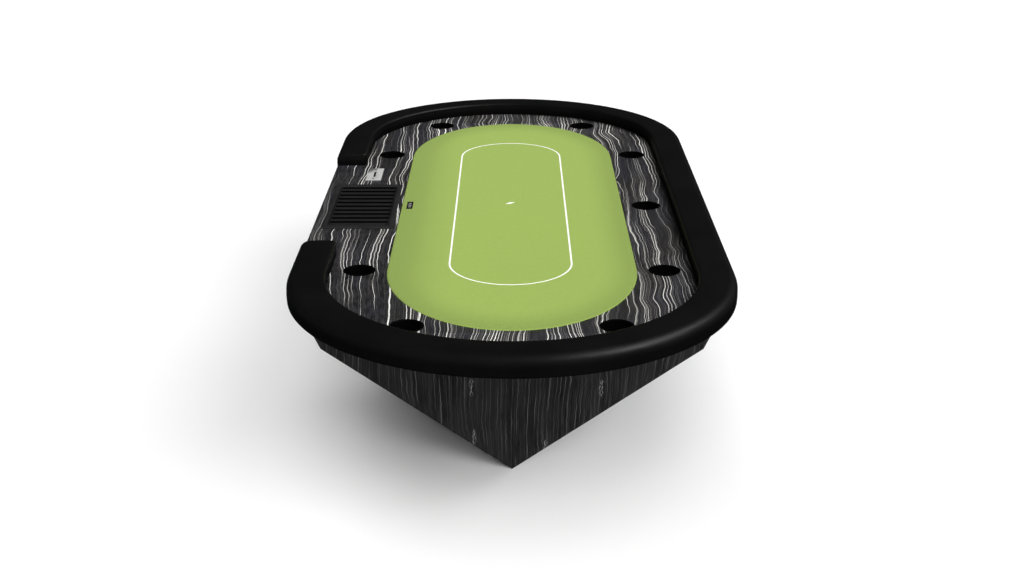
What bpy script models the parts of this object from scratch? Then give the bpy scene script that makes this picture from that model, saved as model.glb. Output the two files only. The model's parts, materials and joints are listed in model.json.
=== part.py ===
"""Poker table: padded C-shaped rail, laminate racetrack, cloth playfield and a gem-shaped hull.

Metres, +Z up. The origin is on the floor under the middle of the table, +Y runs along the
table's length and the dealer stands on the -X side.
"""

import math

import bmesh
import bpy
from mathutils import Matrix, Vector

# Heights, from the floor up
PLATE_TOP = 0.010
SPINE_TOP = 0.150
CHINE_Z = 0.522
HULL_TOP = 0.7074
SUB_DECK_LOW = 0.7077
SUB_DECK_HIGH = 0.7317
RACETRACK_LOW = 0.7320
RACETRACK_HIGH = 0.7500
RAIL_LOW = 0.7360
RAIL_HIGH = 0.7925
GAP = 0.0003
WELD = 0.00001

# Plan outlines: straight sides, then half-ellipse ends
RAIL_STRAIGHT = 0.695
RAIL_HALF_WIDTH = 0.611
RAIL_HALF_LENGTH = 1.290
RAIL_WIDTH = 0.104
SUB_DECK_HALF_WIDTH = 0.602
SUB_DECK_HALF_LENGTH = 1.205
CLOTH_STRAIGHT = 0.574
CLOTH_HALF_WIDTH = 0.351
CLOTH_HALF_LENGTH = 1.027
CLOTH_CLEARANCE = 0.0006
END_STEPS = 20

# Dealer's place: the rail stops here and the deck comes out to its own edge
DEALER_FAR = 0.458
DEALER_NEAR = -0.448
DEALER_EDGE = 0.608
DEALER_CLEARANCE = 0.0010

# Rail section, measured inwards from the rail's outer face
SKIRT = 0.0225
DECK_EDGE_INSET = 0.0235
CORE_INNER_INSET = 0.0930
CORE_LOW = RACETRACK_HIGH + GAP
CORE_HIGH = 0.7700
INNER_LIP = 0.0940
BULLNOSE = 0.027
INNER_ROUND = 0.008
HEM_ROUND = 0.003
BULLNOSE_STEPS = 4
INNER_ROUND_STEPS = 2

# Playfield layers
BOARD_HIGH = 0.7440
FOAM_LOW = 0.7443
FOAM_HIGH = 0.7493
CLOTH_LOW = 0.7496
CLOTH_HIGH = 0.7511
BADGE_HIGH = 0.7520
BADGE_HALF = (0.0095, 0.036)
BADGE_CENTRE = (-0.3255, 0.0)

# Hull
PANEL = 0.018
SLAB_SIZE = 4.0
KEEL_HALF = 0.365
CHINE_X = 0.545
HULL_TOP_X = 0.600
END_SLOPE = math.radians(64.0)
BULKHEAD_Y = 0.220
SPINE_HALF = 0.003
SPINE_HALF_LENGTH = 0.340
PLATE_HALF = (0.250, 0.330)
ANCHOR_AT = (0.150, 0.050)

# Cups
SIDE_CUP_X = 0.4275
SIDE_CUP_Y = 0.593
END_CUP_X = 0.268
END_CUP_Y = 0.999
CUP_FLANGE_RADIUS = 0.045
CUP_RADIUS = 0.0405
CUP_HOLE_RADIUS = 0.0413
CUP_WALL = 0.0015
CUP_FLANGE = 0.0015
CUP_LOW = 0.688
CUP_STEPS = 24

# Chip tray
TUBES = 10
TUBE_PITCH = 0.0394
TUBE_RADIUS = 0.0193
TUBE_SINK = 0.0047
TUBE_HALF_LENGTH = 0.0895
TUBE_STEPS = 20
TRAY_CENTRE = (-0.4720, -0.0055)
TRAY_HALF_WIDTH = 0.0930
TRAY_HIGH = 0.7526
TRAY_RIM = 0.0015
TRAY_CLEARANCE = 0.0010
FRAME_HIGH = 0.7543
FRAME_HALF = (0.1085, 0.2250)

# Drop slot, cash drawer and its lock
SLOT_CENTRE = (-0.4680, 0.3460)
SLOT_PLATE_HALF = (0.0260, 0.0680)
SLOT_PLATE_HIGH = 0.7523
SLOT_HALF_LENGTH = 0.032
SLOT_RADIUS = 0.005
SLOT_STEPS = 6
CHUTE_HALF = (0.0085, 0.0360)
CHUTE_WALL = 0.0015
CHUTE_LOW = 0.680
DRAWER_HALF_WIDTH = 0.081
DRAWER_LOW = 0.548
DRAWER_HIGH = 0.672
DRAWER_FRONT_X = -0.532
DRAWER_BACK_X = -0.380
DRAWER_WALL = 0.002
OPENING_OUTER_X = -0.70
OPENING_INNER_X = -0.50
OPENING_MARGIN = 0.0045
FRONT_MARGIN = 0.0030
CARRIER_WALL = 0.002
CARRIER_CLEARANCE = 0.001
CARRIER_FLANGE = 0.014
LOCK_Z = 0.655
LOCK_RADIUS = 0.009
LOCK_OUTER_X = -0.5890
LOCK_INNER_X = -0.5480
LOCK_BORE_LENGTH = 0.12
LOCK_STEPS = 16
CAM_LENGTH = 0.030
CAM_HALF_WIDTH = 0.005
CAM_THICKNESS = 0.002

# Fasteners
SIDE_BOLT_Y = 0.350
STUB_BOLT_Y = 0.520
END_BOLT_ANGLE = math.radians(70.0)
BOLT_STEPS = 10
BOLT_RADIUS = 0.004
BOLT_HEAD_RADIUS = 0.008
BOLT_HEAD = 0.005
BOLT_HOLE_RADIUS = 0.0046
SCREW_RADIUS = 0.002
SCREW_HEAD_RADIUS = 0.004
SCREW_HEAD = 0.0012
SCREW_HOLE_RADIUS = 0.0024
SCREW_Y = 0.052

# Finishes: colour, roughness and metallic share
FINISHES = {
    "painted_steel": ((0.03, 0.03, 0.035), 0.45, 0.6),
    "zinc": ((0.55, 0.56, 0.58), 0.35, 1.0),
    "brushed_steel": ((0.62, 0.62, 0.62), 0.30, 1.0),
    "dark_laminate": ((0.045, 0.043, 0.048), 0.40, 0.0),
    "hull_laminate": ((0.022, 0.022, 0.024), 0.45, 0.0),
    "plywood": ((0.42, 0.28, 0.16), 0.70, 0.0),
    "foam": ((0.20, 0.20, 0.22), 0.95, 0.0),
    "lime_cloth": ((0.37, 0.51, 0.12), 0.95, 0.0),
    "black_vinyl": ((0.006, 0.006, 0.006), 0.40, 0.0),
    "black_plastic": ((0.012, 0.012, 0.013), 0.50, 0.0),
    "badge": ((0.02, 0.02, 0.02), 0.60, 0.0),
}

parts = None
cutters = None


def material(name):
    """A Principled BSDF material with one of the finishes."""
    colour, roughness, metallic = FINISHES[name]
    made = bpy.data.materials.new(name)
    made.use_nodes = True
    made.diffuse_color = (*colour, 1.0)
    shader = made.node_tree.nodes["Principled BSDF"]
    shader.inputs["Base Color"].default_value = (*colour, 1.0)
    shader.inputs["Roughness"].default_value = roughness
    shader.inputs["Metallic"].default_value = metallic
    return made


def add_object(name, data, look, collection=None):
    """Link a new object for a mesh or curve, with its material."""
    made = bpy.data.objects.new(name, data)
    (collection or parts).objects.link(made)
    if look:
        data.materials.append(look)
    return made


def mesh_from(obj):
    """Turn a curve object into a welded mesh object in the same place."""
    bpy.context.view_layer.update()
    evaluated = obj.evaluated_get(bpy.context.evaluated_depsgraph_get())
    mesh = bpy.data.meshes.new_from_object(evaluated)
    welded = bmesh.new()
    welded.from_mesh(mesh)
    bmesh.ops.remove_doubles(welded, verts=welded.verts, dist=WELD)
    bmesh.ops.recalc_face_normals(welded, faces=welded.faces)
    welded.to_mesh(mesh)
    welded.free()
    name = obj.name
    place = obj.matrix_world.copy()
    bpy.data.objects.remove(obj)
    made = bpy.data.objects.new(name, mesh)
    made.matrix_world = place
    parts.objects.link(made)
    return made


def board(name, outlines, low, high, look, rotation=(0.0, 0.0, 0.0), location=None):
    """A sheet cut to its first outline, with the other outlines as holes."""
    curve = bpy.data.curves.new(name, "CURVE")
    curve.dimensions = "2D"
    curve.fill_mode = "BOTH"
    curve.extrude = (high - low) / 2
    for outline in outlines:
        spline = curve.splines.new("POLY")
        spline.points.add(len(outline) - 1)
        spline.use_cyclic_u = True
        for point, (x, y) in zip(spline.points, outline):
            point.co = (x, y, 0.0, 1.0)
    made = add_object(name, curve, look)
    made.rotation_euler = rotation
    made.location = location or (0.0, 0.0, (low + high) / 2)
    return mesh_from(made)


def turned(name, profile, steps, location, look):
    """A turned piece: a profile of radius and height, run down its outer side."""
    mesh = bpy.data.meshes.new(name)
    points = [(radius, 0.0, height) for radius, height in profile]
    edges = [(index, index + 1) for index in range(len(points) - 1)]
    mesh.from_pydata(points, edges, [])
    made = add_object(name, mesh, look)
    made.location = location
    screw = made.modifiers.new("turn", "SCREW")
    screw.steps = steps
    screw.render_steps = steps
    screw.use_merge_vertices = True
    screw.merge_threshold = WELD
    screw.use_smooth_shade = False
    return made


def box(name, low, high, look, collection=None):
    """A box between two corners, from a cube primitive."""
    made_mesh = bmesh.new()
    bmesh.ops.create_cube(made_mesh, size=1.0)
    size = [b - a for a, b in zip(low, high)]
    bmesh.ops.scale(made_mesh, vec=size, verts=made_mesh.verts)
    mesh = bpy.data.meshes.new(name)
    made_mesh.to_mesh(mesh)
    made_mesh.free()
    made = add_object(name, mesh, look, collection)
    made.location = [(a + b) / 2 for a, b in zip(low, high)]
    return made


def hide_cutter(cutter):
    """Show a cutter as a wire only."""
    cutter.hide_render = True
    cutter.display_type = "WIRE"


def combine(obj, other, operation):
    """Cut or join an object with a cutter."""
    hide_cutter(other)
    modifier = obj.modifiers.new(operation.lower(), "BOOLEAN")
    modifier.operation = operation
    modifier.object = other
    modifier.solver = "EXACT"


def rectangle(centre, half):
    """Corners of a rectangle, anticlockwise."""
    signs = ((-1, -1), (1, -1), (1, 1), (-1, 1))
    return [(centre[0] + sx * half[0], centre[1] + sy * half[1]) for sx, sy in signs]


def circle(centre, radius, steps):
    """Corners of a regular polygon on a circle."""
    turns = [2 * math.pi * step / steps for step in range(steps)]
    return [(centre[0] + radius * math.cos(turn), centre[1] + radius * math.sin(turn)) for turn in turns]


def stadium(half_width, half_length, straight):
    """Closed outline with straight sides and half-ellipse ends, anticlockwise."""
    depth = half_length - straight
    points = []
    for end in (1, -1):
        for step in range(END_STEPS + 1):
            angle = math.pi * step / END_STEPS
            x = half_width * math.cos(angle)
            y = straight + depth * math.sin(angle)
            points.append((end * x, end * y))
    return points


def rail_end(end, inset):
    """One half-ellipse end of the rail's outer outline, moved inwards along its normals."""
    turns = [math.pi * step / END_STEPS for step in range(END_STEPS + 1)]
    return [tuple(end * rail_point(turn, inset)) for turn in turns]


def rail_point(angle, inset):
    """A point of the far end's outline at a turning angle, moved inwards."""
    depth = RAIL_HALF_LENGTH - RAIL_STRAIGHT
    along = Vector((RAIL_HALF_WIDTH * math.cos(angle), RAIL_STRAIGHT + depth * math.sin(angle)))
    normal = Vector((depth * math.cos(angle), RAIL_HALF_WIDTH * math.sin(angle))).normalized()
    return along - inset * normal


def rail_path(inset):
    """The C-shaped way round the table, from the dealer's far side to the near side."""
    side = inset - RAIL_HALF_WIDTH
    far = list(reversed(rail_end(1, inset)))
    near = list(reversed(rail_end(-1, inset)))
    return [(side, DEALER_FAR)] + far + near + [(side, DEALER_NEAR)]


def with_bay(outline):
    """A deck outline brought out to the dealer's edge between the rail's two ends."""
    half = len(outline) // 2
    side = outline[half][0]
    far = DEALER_FAR - DEALER_CLEARANCE
    near = DEALER_NEAR + DEALER_CLEARANCE
    bay = [(side, far), (-DEALER_EDGE, far), (-DEALER_EDGE, near), (side, near)]
    return outline[:half] + bay + outline[half:]


def cup_places():
    """Centres of the cups: four at the corners, four at the ends and one at mid-side."""
    places = [(SIDE_CUP_X, 0.0)]
    for side in (1, -1):
        for end in (1, -1):
            places.append((side * SIDE_CUP_X, end * SIDE_CUP_Y))
            places.append((side * END_CUP_X, end * END_CUP_Y))
    return places


def rail_bolt_places():
    """Centres of the bolts that hold the rail's core down, in the middle of the core."""
    middle = (DECK_EDGE_INSET + CORE_INNER_INSET) / 2
    side = RAIL_HALF_WIDTH - middle
    places = [(side, SIDE_BOLT_Y), (side, -SIDE_BOLT_Y), (-side, STUB_BOLT_Y), (-side, -STUB_BOLT_Y)]
    for end in (1, -1):
        for angle in (END_BOLT_ANGLE, math.pi - END_BOLT_ANGLE):
            places.append(tuple(end * rail_point(angle, middle)))
    return places


def is_long(place):
    """Whether a rail bolt goes through the sub-deck too, as it does along the sides."""
    return abs(place[1]) < RAIL_STRAIGHT


def slot_screw_places():
    """Centres of the two screws of the slot plate."""
    return [(SLOT_CENTRE[0], SLOT_CENTRE[1] + side * SCREW_Y) for side in (1, -1)]


def floor_parts(steel, zinc):
    """Diamond floor plate, its anchor bolts and the upright steel spine along the keel."""
    half_x, half_y = PLATE_HALF
    diamond = [(half_x, 0.0), (0.0, half_y), (-half_x, 0.0), (0.0, -half_y)]
    anchors = [(sx * ANCHOR_AT[0], sy * ANCHOR_AT[1]) for sx in (1, -1) for sy in (1, -1)]
    holes = [circle(place, BOLT_HOLE_RADIUS, BOLT_STEPS) for place in anchors]
    board("floor_plate", [diamond] + holes, 0.0, PLATE_TOP, steel)
    seat = PLATE_TOP + GAP
    top = seat + BOLT_HEAD
    foot = 2 * GAP
    profile = [(0, top), (BOLT_HEAD_RADIUS, top), (BOLT_HEAD_RADIUS, seat)]
    profile += [(BOLT_RADIUS, seat), (BOLT_RADIUS, foot), (0, foot)]
    for number, place in enumerate(anchors, 1):
        turned(f"anchor_bolt_{number}", profile, BOLT_STEPS, (*place, 0.0), zinc)
    low = (-SPINE_HALF, -SPINE_HALF_LENGTH, PLATE_TOP + GAP)
    high = (SPINE_HALF, SPINE_HALF_LENGTH, SPINE_TOP)
    box("keel_spine", low, high, steel)


def hull_faces():
    """Outer planes of the hull: name to a point on the plane and its outward normal."""
    rise = HULL_TOP - CHINE_Z
    run = HULL_TOP_X - CHINE_X
    faces = {}
    for name, side in (("front", -1), ("rear", 1)):
        normal = Vector((0, side * math.sin(END_SLOPE), -math.cos(END_SLOPE)))
        faces[name] = (Vector((0, side * KEEL_HALF, 0)), normal)
    for name, side in (("right", 1), ("left", -1)):
        lower = Vector((side * CHINE_Z, 0, -CHINE_X)).normalized()
        upper = Vector((side * rise, 0, -run)).normalized()
        faces[name + "_lower"] = (Vector((0, 0, 0)), lower)
        faces[name + "_upper"] = (Vector((side * CHINE_X, 0, CHINE_Z)), upper)
    return faces


def corner(faces, first, second):
    """A point where two neighbouring hull planes meet."""
    names = {first.split("_")[-1], second.split("_")[-1]}
    if names == {"lower", "upper"}:
        return faces[second if second.endswith("upper") else first][0]
    end = first if first in ("front", "rear") else second
    side = second if end == first else first
    point, normal = faces[end]
    start = faces[side][0]
    drop = (point - start).dot(normal) / normal.y
    return start + Vector((0, drop, 0))


def cut_slab(name, point, normal, cuts, look):
    """A panel of the hull: a slab behind its outer plane, cut along the given planes."""
    slab = bmesh.new()
    bmesh.ops.create_cube(slab, size=1.0)
    bmesh.ops.scale(slab, vec=(SLAB_SIZE, SLAB_SIZE, PANEL), verts=slab.verts)
    bmesh.ops.translate(slab, vec=(0, 0, -PANEL / 2), verts=slab.verts)
    turn = Vector((0, 0, 1)).rotation_difference(normal).to_matrix().to_4x4()
    bmesh.ops.transform(slab, matrix=Matrix.Translation(point) @ turn, verts=slab.verts)
    for cut_point, keep in cuts:
        everything = slab.verts[:] + slab.edges[:] + slab.faces[:]
        cut = bmesh.ops.bisect_plane(
            slab, geom=everything, plane_co=cut_point, plane_no=keep, clear_inner=True
        )
        rim = [item for item in cut["geom_cut"] if isinstance(item, bmesh.types.BMEdge)]
        bmesh.ops.edgeloop_fill(slab, edges=rim)
    bmesh.ops.recalc_face_normals(slab, faces=slab.faces)
    mesh = bpy.data.meshes.new(name)
    slab.to_mesh(mesh)
    slab.free()
    return add_object(name, mesh, look)


def mitre(faces, own, other):
    """The plane between a panel and its neighbour, half a gap into the panel."""
    keep = (faces[own][1] - faces[other][1]).normalized()
    return corner(faces, own, other) + keep * GAP / 2, keep


def hull_panels(laminate):
    """The six laminate-faced panels of the gem-shaped hull, mitred along its edges."""
    faces = hull_faces()
    top = (Vector((0, 0, HULL_TOP)), Vector((0, 0, -1)))
    neighbours = {}
    for end in ("front", "rear"):
        neighbours[end] = ["left_lower", "right_lower", "left_upper", "right_upper"]
    for side in ("left", "right"):
        neighbours[side + "_lower"] = ["front", "rear", side + "_upper"]
        neighbours[side + "_upper"] = ["front", "rear", side + "_lower"]
    for name, others in neighbours.items():
        cuts = [mitre(faces, name, other) for other in others] + [top]
        if name.endswith("lower"):
            side = 1 if name.startswith("right") else -1
            cuts.append((Vector((side * (SPINE_HALF + GAP), 0, 0)), Vector((side, 0, 0))))
            cuts.append((Vector((0, 0, PLATE_TOP + GAP)), Vector((0, 0, 1))))
        panel = cut_slab("hull_" + name, *faces[name], cuts, laminate)
        if name == "left_upper":
            low, high = drawer_opening(OPENING_MARGIN)
            combine(panel, box("drawer_opening", low, high, None, cutters), "DIFFERENCE")
    drawer_front(faces["left_upper"], laminate)


def drawer_opening(margin):
    """Corners of a box through the dealer-side panel, round the cash drawer."""
    half = DRAWER_HALF_WIDTH + margin
    low = (OPENING_OUTER_X, SLOT_CENTRE[1] - half, DRAWER_LOW - margin)
    high = (OPENING_INNER_X, SLOT_CENTRE[1] + half, DRAWER_HIGH + margin)
    return low, high


def drawer_front(face, laminate):
    """The piece of hull panel on the front of the cash drawer, with a hole for the lock."""
    low, high = drawer_opening(FRONT_MARGIN)
    cuts = [(Vector(low), Vector((0, 1, 0))), (Vector(low), Vector((0, 0, 1)))]
    cuts += [(Vector(high), Vector((0, -1, 0))), (Vector(high), Vector((0, 0, -1)))]
    front = cut_slab("drawer_front", *face, cuts, laminate)
    bore = bmesh.new()
    radius = LOCK_RADIUS + GAP
    bmesh.ops.create_cone(
        bore, cap_ends=True, segments=LOCK_STEPS,
        radius1=radius, radius2=radius, depth=LOCK_BORE_LENGTH
    )
    mesh = bpy.data.meshes.new("lock_bore")
    bore.to_mesh(mesh)
    bore.free()
    cutter = add_object("lock_bore", mesh, None, cutters)
    cutter.rotation_euler = (0, math.pi / 2, 0)
    cutter.location = (LOCK_INNER_X, SLOT_CENTRE[1], LOCK_Z)
    combine(front, cutter, "DIFFERENCE")


def section_inside(distance):
    """Right half of the hull's cross-section moved inwards: foot, chine and top points."""
    lower = Vector((CHINE_Z, -CHINE_X)).normalized()
    upper = Vector((HULL_TOP - CHINE_Z, CHINE_X - HULL_TOP_X)).normalized()
    chine = Vector((CHINE_X, CHINE_Z))
    lines = Matrix((lower, upper)).inverted()
    chine_inside = lines @ Vector((-distance, chine.dot(upper) - distance))
    foot_x = SPINE_HALF + 2 * GAP
    foot = Vector((foot_x, (-distance - foot_x * lower.x) / lower.y))
    top_z = HULL_TOP - GAP
    top_x = (chine.dot(upper) - distance - top_z * upper.y) / upper.x
    return [foot, chine_inside, Vector((top_x, top_z))]


def bulkheads(plywood):
    """Two upright plywood frames across the hull, slotted over the spine."""
    right = section_inside(PANEL + 2 * GAP)
    left = [Vector((-point.x, point.y)) for point in reversed(right)]
    slot_x = right[0].x
    slot = [(-slot_x, SPINE_TOP + GAP), (slot_x, SPINE_TOP + GAP)]
    outline = [tuple(point) for point in right + left] + slot
    for name, side in (("bulkhead_near", -1), ("bulkhead_far", 1)):
        place = (0.0, side * BULKHEAD_Y, 0.0)
        board(name, [outline], 0.0, PANEL, plywood, (math.pi / 2, 0, 0), place)


def deck_parts(plywood, laminate):
    """Sub-deck and racetrack, with their cup, tray, chute, bolt and playfield openings."""
    cups = [circle(place, CUP_HOLE_RADIUS, CUP_STEPS) for place in cup_places()]
    bolts = [circle(place, BOLT_HOLE_RADIUS, BOLT_STEPS) for place in rail_bolt_places()]
    long_bolts = [hole for hole, place in zip(bolts, rail_bolt_places()) if is_long(place)]
    chute_half = [half + CHUTE_WALL + 2 * GAP for half in CHUTE_HALF]
    chute = rectangle(SLOT_CENTRE, chute_half)
    under = with_bay(stadium(SUB_DECK_HALF_WIDTH, SUB_DECK_HALF_LENGTH, RAIL_STRAIGHT))
    board("sub_deck", [under, chute] + cups + long_bolts, SUB_DECK_LOW, SUB_DECK_HIGH, plywood)
    field = cloth_outline(CLOTH_CLEARANCE)
    tray_half = (TRAY_HALF_WIDTH + TRAY_CLEARANCE, tray_half_length() + TRAY_CLEARANCE)
    tray = rectangle(TRAY_CENTRE, tray_half)
    screws = [circle(place, SCREW_HOLE_RADIUS, BOLT_STEPS) for place in slot_screw_places()]
    edge = with_bay(rail_end(1, DECK_EDGE_INSET) + rail_end(-1, DECK_EDGE_INSET))
    outlines = [edge, field, tray, chute] + cups + bolts + screws
    board("racetrack", outlines, RACETRACK_LOW, RACETRACK_HIGH, laminate)


def cloth_outline(margin):
    """Outline of the playfield, or of the racetrack's opening round it."""
    return stadium(CLOTH_HALF_WIDTH + margin, CLOTH_HALF_LENGTH + margin, CLOTH_STRAIGHT)


def playfield_parts(plywood, foam, cloth, badge):
    """The playfield's board, foam, cloth and its small badge."""
    outline = cloth_outline(0.0)
    board("playfield_board", [outline], RACETRACK_LOW, BOARD_HIGH, plywood)
    board("playfield_foam", [outline], FOAM_LOW, FOAM_HIGH, foam)
    board("playfield_cloth", [outline], CLOTH_LOW, CLOTH_HIGH, cloth)
    patch = rectangle(BADGE_CENTRE, BADGE_HALF)
    board("cloth_badge", [patch], CLOTH_HIGH + GAP, BADGE_HIGH, badge)


def rail_cores(plywood):
    """Plywood core of the rail in three lengths, with the bolt holes."""
    outer = rail_path(DECK_EDGE_INSET)
    inner = rail_path(CORE_INNER_INSET)
    turn = END_STEPS + 2
    side = (RAIL_HALF_WIDTH - DECK_EDGE_INSET, RAIL_HALF_WIDTH - CORE_INNER_INSET)
    joint = RAIL_STRAIGHT - GAP
    straight = [(side[0], joint), (side[0], -joint), (side[1], -joint), (side[1], joint)]
    outlines = {
        "rail_core_far": outer[:turn] + list(reversed(inner[:turn])),
        "rail_core_near": outer[turn:] + list(reversed(inner[turn:])),
        "rail_core_right": straight,
    }
    inside = {
        "rail_core_far": lambda place: place[1] > joint or (place[0] < 0 < place[1]),
        "rail_core_near": lambda place: place[1] < -joint or (place[0] < 0 > place[1]),
        "rail_core_right": lambda place: abs(place[1]) < joint and place[0] > 0,
    }
    for name, outline in outlines.items():
        places = [place for place in rail_bolt_places() if inside[name](place)]
        holes = [circle(place, BOLT_HOLE_RADIUS, BOLT_STEPS) for place in places]
        board(name, [outline] + holes, CORE_LOW, CORE_HIGH, plywood)


def rail_section():
    """Closed section of the padded rail: an inverted channel over the core and the deck's edge."""
    points = [(HEM_ROUND, RAIL_LOW), (0.0, RAIL_LOW + HEM_ROUND)]
    for step in range(BULLNOSE_STEPS + 1):
        angle = math.pi / 2 * step / BULLNOSE_STEPS
        across = BULLNOSE * (1 - math.cos(angle))
        up = RAIL_HIGH - BULLNOSE + BULLNOSE * math.sin(angle)
        points.append((across, up))
    for step in range(INNER_ROUND_STEPS + 1):
        angle = math.pi / 2 * step / INNER_ROUND_STEPS
        across = RAIL_WIDTH - INNER_ROUND + INNER_ROUND * math.sin(angle)
        up = RAIL_HIGH - INNER_ROUND + INNER_ROUND * math.cos(angle)
        points.append((across, up))
    roof = CORE_HIGH + 2 * GAP
    seat = RACETRACK_HIGH + GAP
    points += [(RAIL_WIDTH, seat), (INNER_LIP, seat), (INNER_LIP, roof)]
    points += [(SKIRT, roof), (SKIRT, RAIL_LOW)]
    return points


def rail_pad(vinyl):
    """The padded armrest, swept along the rail's C-shaped outer outline."""
    section = bpy.data.curves.new("rail_section", "CURVE")
    section.dimensions = "2D"
    ring = section.splines.new("POLY")
    points = rail_section()
    ring.points.add(len(points) - 1)
    ring.use_cyclic_u = True
    for point, (across, up) in zip(ring.points, points):
        point.co = (across, up - RAIL_LOW, 0.0, 1.0)
    guide = add_object("rail_section", section, None, cutters)
    hide_cutter(guide)
    way = bpy.data.curves.new("rail_pad", "CURVE")
    way.dimensions = "3D"
    way.twist_mode = "Z_UP"
    way.bevel_mode = "OBJECT"
    way.bevel_object = guide
    way.use_fill_caps = True
    line = way.splines.new("POLY")
    route = rail_path(0.0)
    line.points.add(len(route) - 1)
    for point, (x, y) in zip(line.points, route):
        point.co = (x, y, RAIL_LOW, 1.0)
    return mesh_from(add_object("rail_pad", way, vinyl))


def rail_bolts(zinc):
    """Bolts up through the deck into the rail's core."""
    top = CORE_HIGH - 2 * GAP
    for number, place in enumerate(rail_bolt_places(), 1):
        seat = (SUB_DECK_LOW if is_long(place) else RACETRACK_LOW) - GAP
        low = seat - BOLT_HEAD
        profile = [(0, top), (BOLT_RADIUS, top), (BOLT_RADIUS, seat)]
        profile += [(BOLT_HEAD_RADIUS, seat), (BOLT_HEAD_RADIUS, low), (0, low)]
        turned(f"rail_bolt_{number}", profile, BOLT_STEPS, (*place, 0.0), zinc)


def cups(plastic):
    """Drop-in cups, each hung by its flange."""
    seat = RACETRACK_HIGH + GAP
    rim = seat + CUP_FLANGE
    inner = CUP_RADIUS - CUP_WALL
    floor = CUP_LOW + CUP_WALL
    profile = [(0, floor), (inner - CUP_WALL, floor), (inner, rim), (CUP_FLANGE_RADIUS, rim)]
    profile += [(CUP_FLANGE_RADIUS, seat), (CUP_RADIUS, seat)]
    profile += [(CUP_RADIUS - CUP_WALL, CUP_LOW), (0, CUP_LOW)]
    for number, place in enumerate(cup_places(), 1):
        turned(f"cup_{number}", profile, CUP_STEPS, (*place, 0.0), plastic)


def tray_half_length():
    """Half the length of the chip tray, across its tubes."""
    return TUBES * TUBE_PITCH / 2 + TRAY_RIM


def chip_tray(plastic):
    """The lift-out tray with its row of half-round tubes, and the frame it sits in."""
    half = (TRAY_HALF_WIDTH, tray_half_length())
    low = (TRAY_CENTRE[0] - half[0], TRAY_CENTRE[1] - half[1], RACETRACK_LOW)
    high = (TRAY_CENTRE[0] + half[0], TRAY_CENTRE[1] + half[1], TRAY_HIGH)
    tray = box("chip_tray", low, high, plastic)
    tubes = bmesh.new()
    for number in range(TUBES):
        across = (number - (TUBES - 1) / 2) * TUBE_PITCH
        rod = bmesh.ops.create_cone(
            tubes, cap_ends=True, segments=TUBE_STEPS,
            radius1=TUBE_RADIUS, radius2=TUBE_RADIUS, depth=2 * TUBE_HALF_LENGTH
        )
        place = Matrix.Translation((0, across, 0)) @ Matrix.Rotation(math.pi / 2, 4, "Y")
        bmesh.ops.transform(tubes, matrix=place, verts=rod["verts"])
    mesh = bpy.data.meshes.new("tray_tubes")
    tubes.to_mesh(mesh)
    tubes.free()
    cutter = add_object("tray_tubes", mesh, None, cutters)
    cutter.location = (*TRAY_CENTRE, TRAY_HIGH + TUBE_SINK)
    combine(tray, cutter, "DIFFERENCE")
    opening = rectangle(TRAY_CENTRE, [size + TRAY_CLEARANCE for size in half])
    outer = rectangle(TRAY_CENTRE, FRAME_HALF)
    board("tray_frame", [outer, opening], RACETRACK_HIGH + GAP, FRAME_HIGH, plastic)


def slot_parts(steel, zinc):
    """The brushed slot plate, its two screws and the chute below it."""
    low = RACETRACK_HIGH + GAP
    slot = []
    for end in (1, -1):
        for step in range(SLOT_STEPS + 1):
            angle = math.pi * step / SLOT_STEPS
            x = SLOT_RADIUS * math.cos(angle)
            y = SLOT_HALF_LENGTH - SLOT_RADIUS + SLOT_RADIUS * math.sin(angle)
            slot.append((SLOT_CENTRE[0] + end * x, SLOT_CENTRE[1] + end * y))
    holes = [circle(place, SCREW_HOLE_RADIUS, BOLT_STEPS) for place in slot_screw_places()]
    plate = rectangle(SLOT_CENTRE, SLOT_PLATE_HALF)
    board("slot_plate", [plate, slot] + holes, low, SLOT_PLATE_HIGH, steel)
    seat = SLOT_PLATE_HIGH + GAP
    top = seat + SCREW_HEAD
    foot = RACETRACK_LOW + GAP
    profile = [(0, top), (SCREW_HEAD_RADIUS, top), (SCREW_HEAD_RADIUS, seat)]
    profile += [(SCREW_RADIUS, seat), (SCREW_RADIUS, foot), (0, foot)]
    for number, place in enumerate(slot_screw_places(), 1):
        turned(f"slot_screw_{number}", profile, BOLT_STEPS, (*place, 0.0), zinc)
    inside = rectangle(SLOT_CENTRE, CHUTE_HALF)
    outside = rectangle(SLOT_CENTRE, [half + CHUTE_WALL for half in CHUTE_HALF])
    board("slot_chute", [outside, inside], CHUTE_LOW, RACETRACK_HIGH, zinc)


def cash_box(steel):
    """The open-topped steel box under the chute, and the folded carrier it slides in."""
    low = (DRAWER_FRONT_X, SLOT_CENTRE[1] - DRAWER_HALF_WIDTH, DRAWER_LOW)
    high = (DRAWER_BACK_X, SLOT_CENTRE[1] + DRAWER_HALF_WIDTH, DRAWER_HIGH)
    made = box("cash_box", low, high, steel)
    shell = bmesh.new()
    shell.from_mesh(made.data)
    lid = max(shell.faces, key=lambda face: face.normal.z)
    bmesh.ops.delete(shell, geom=[lid], context="FACES_ONLY")
    shell.to_mesh(made.data)
    shell.free()
    solid = made.modifiers.new("wall", "SOLIDIFY")
    solid.thickness = DRAWER_WALL
    solid.offset = -1.0
    solid.use_even_offset = True
    carrier(steel)


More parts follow.
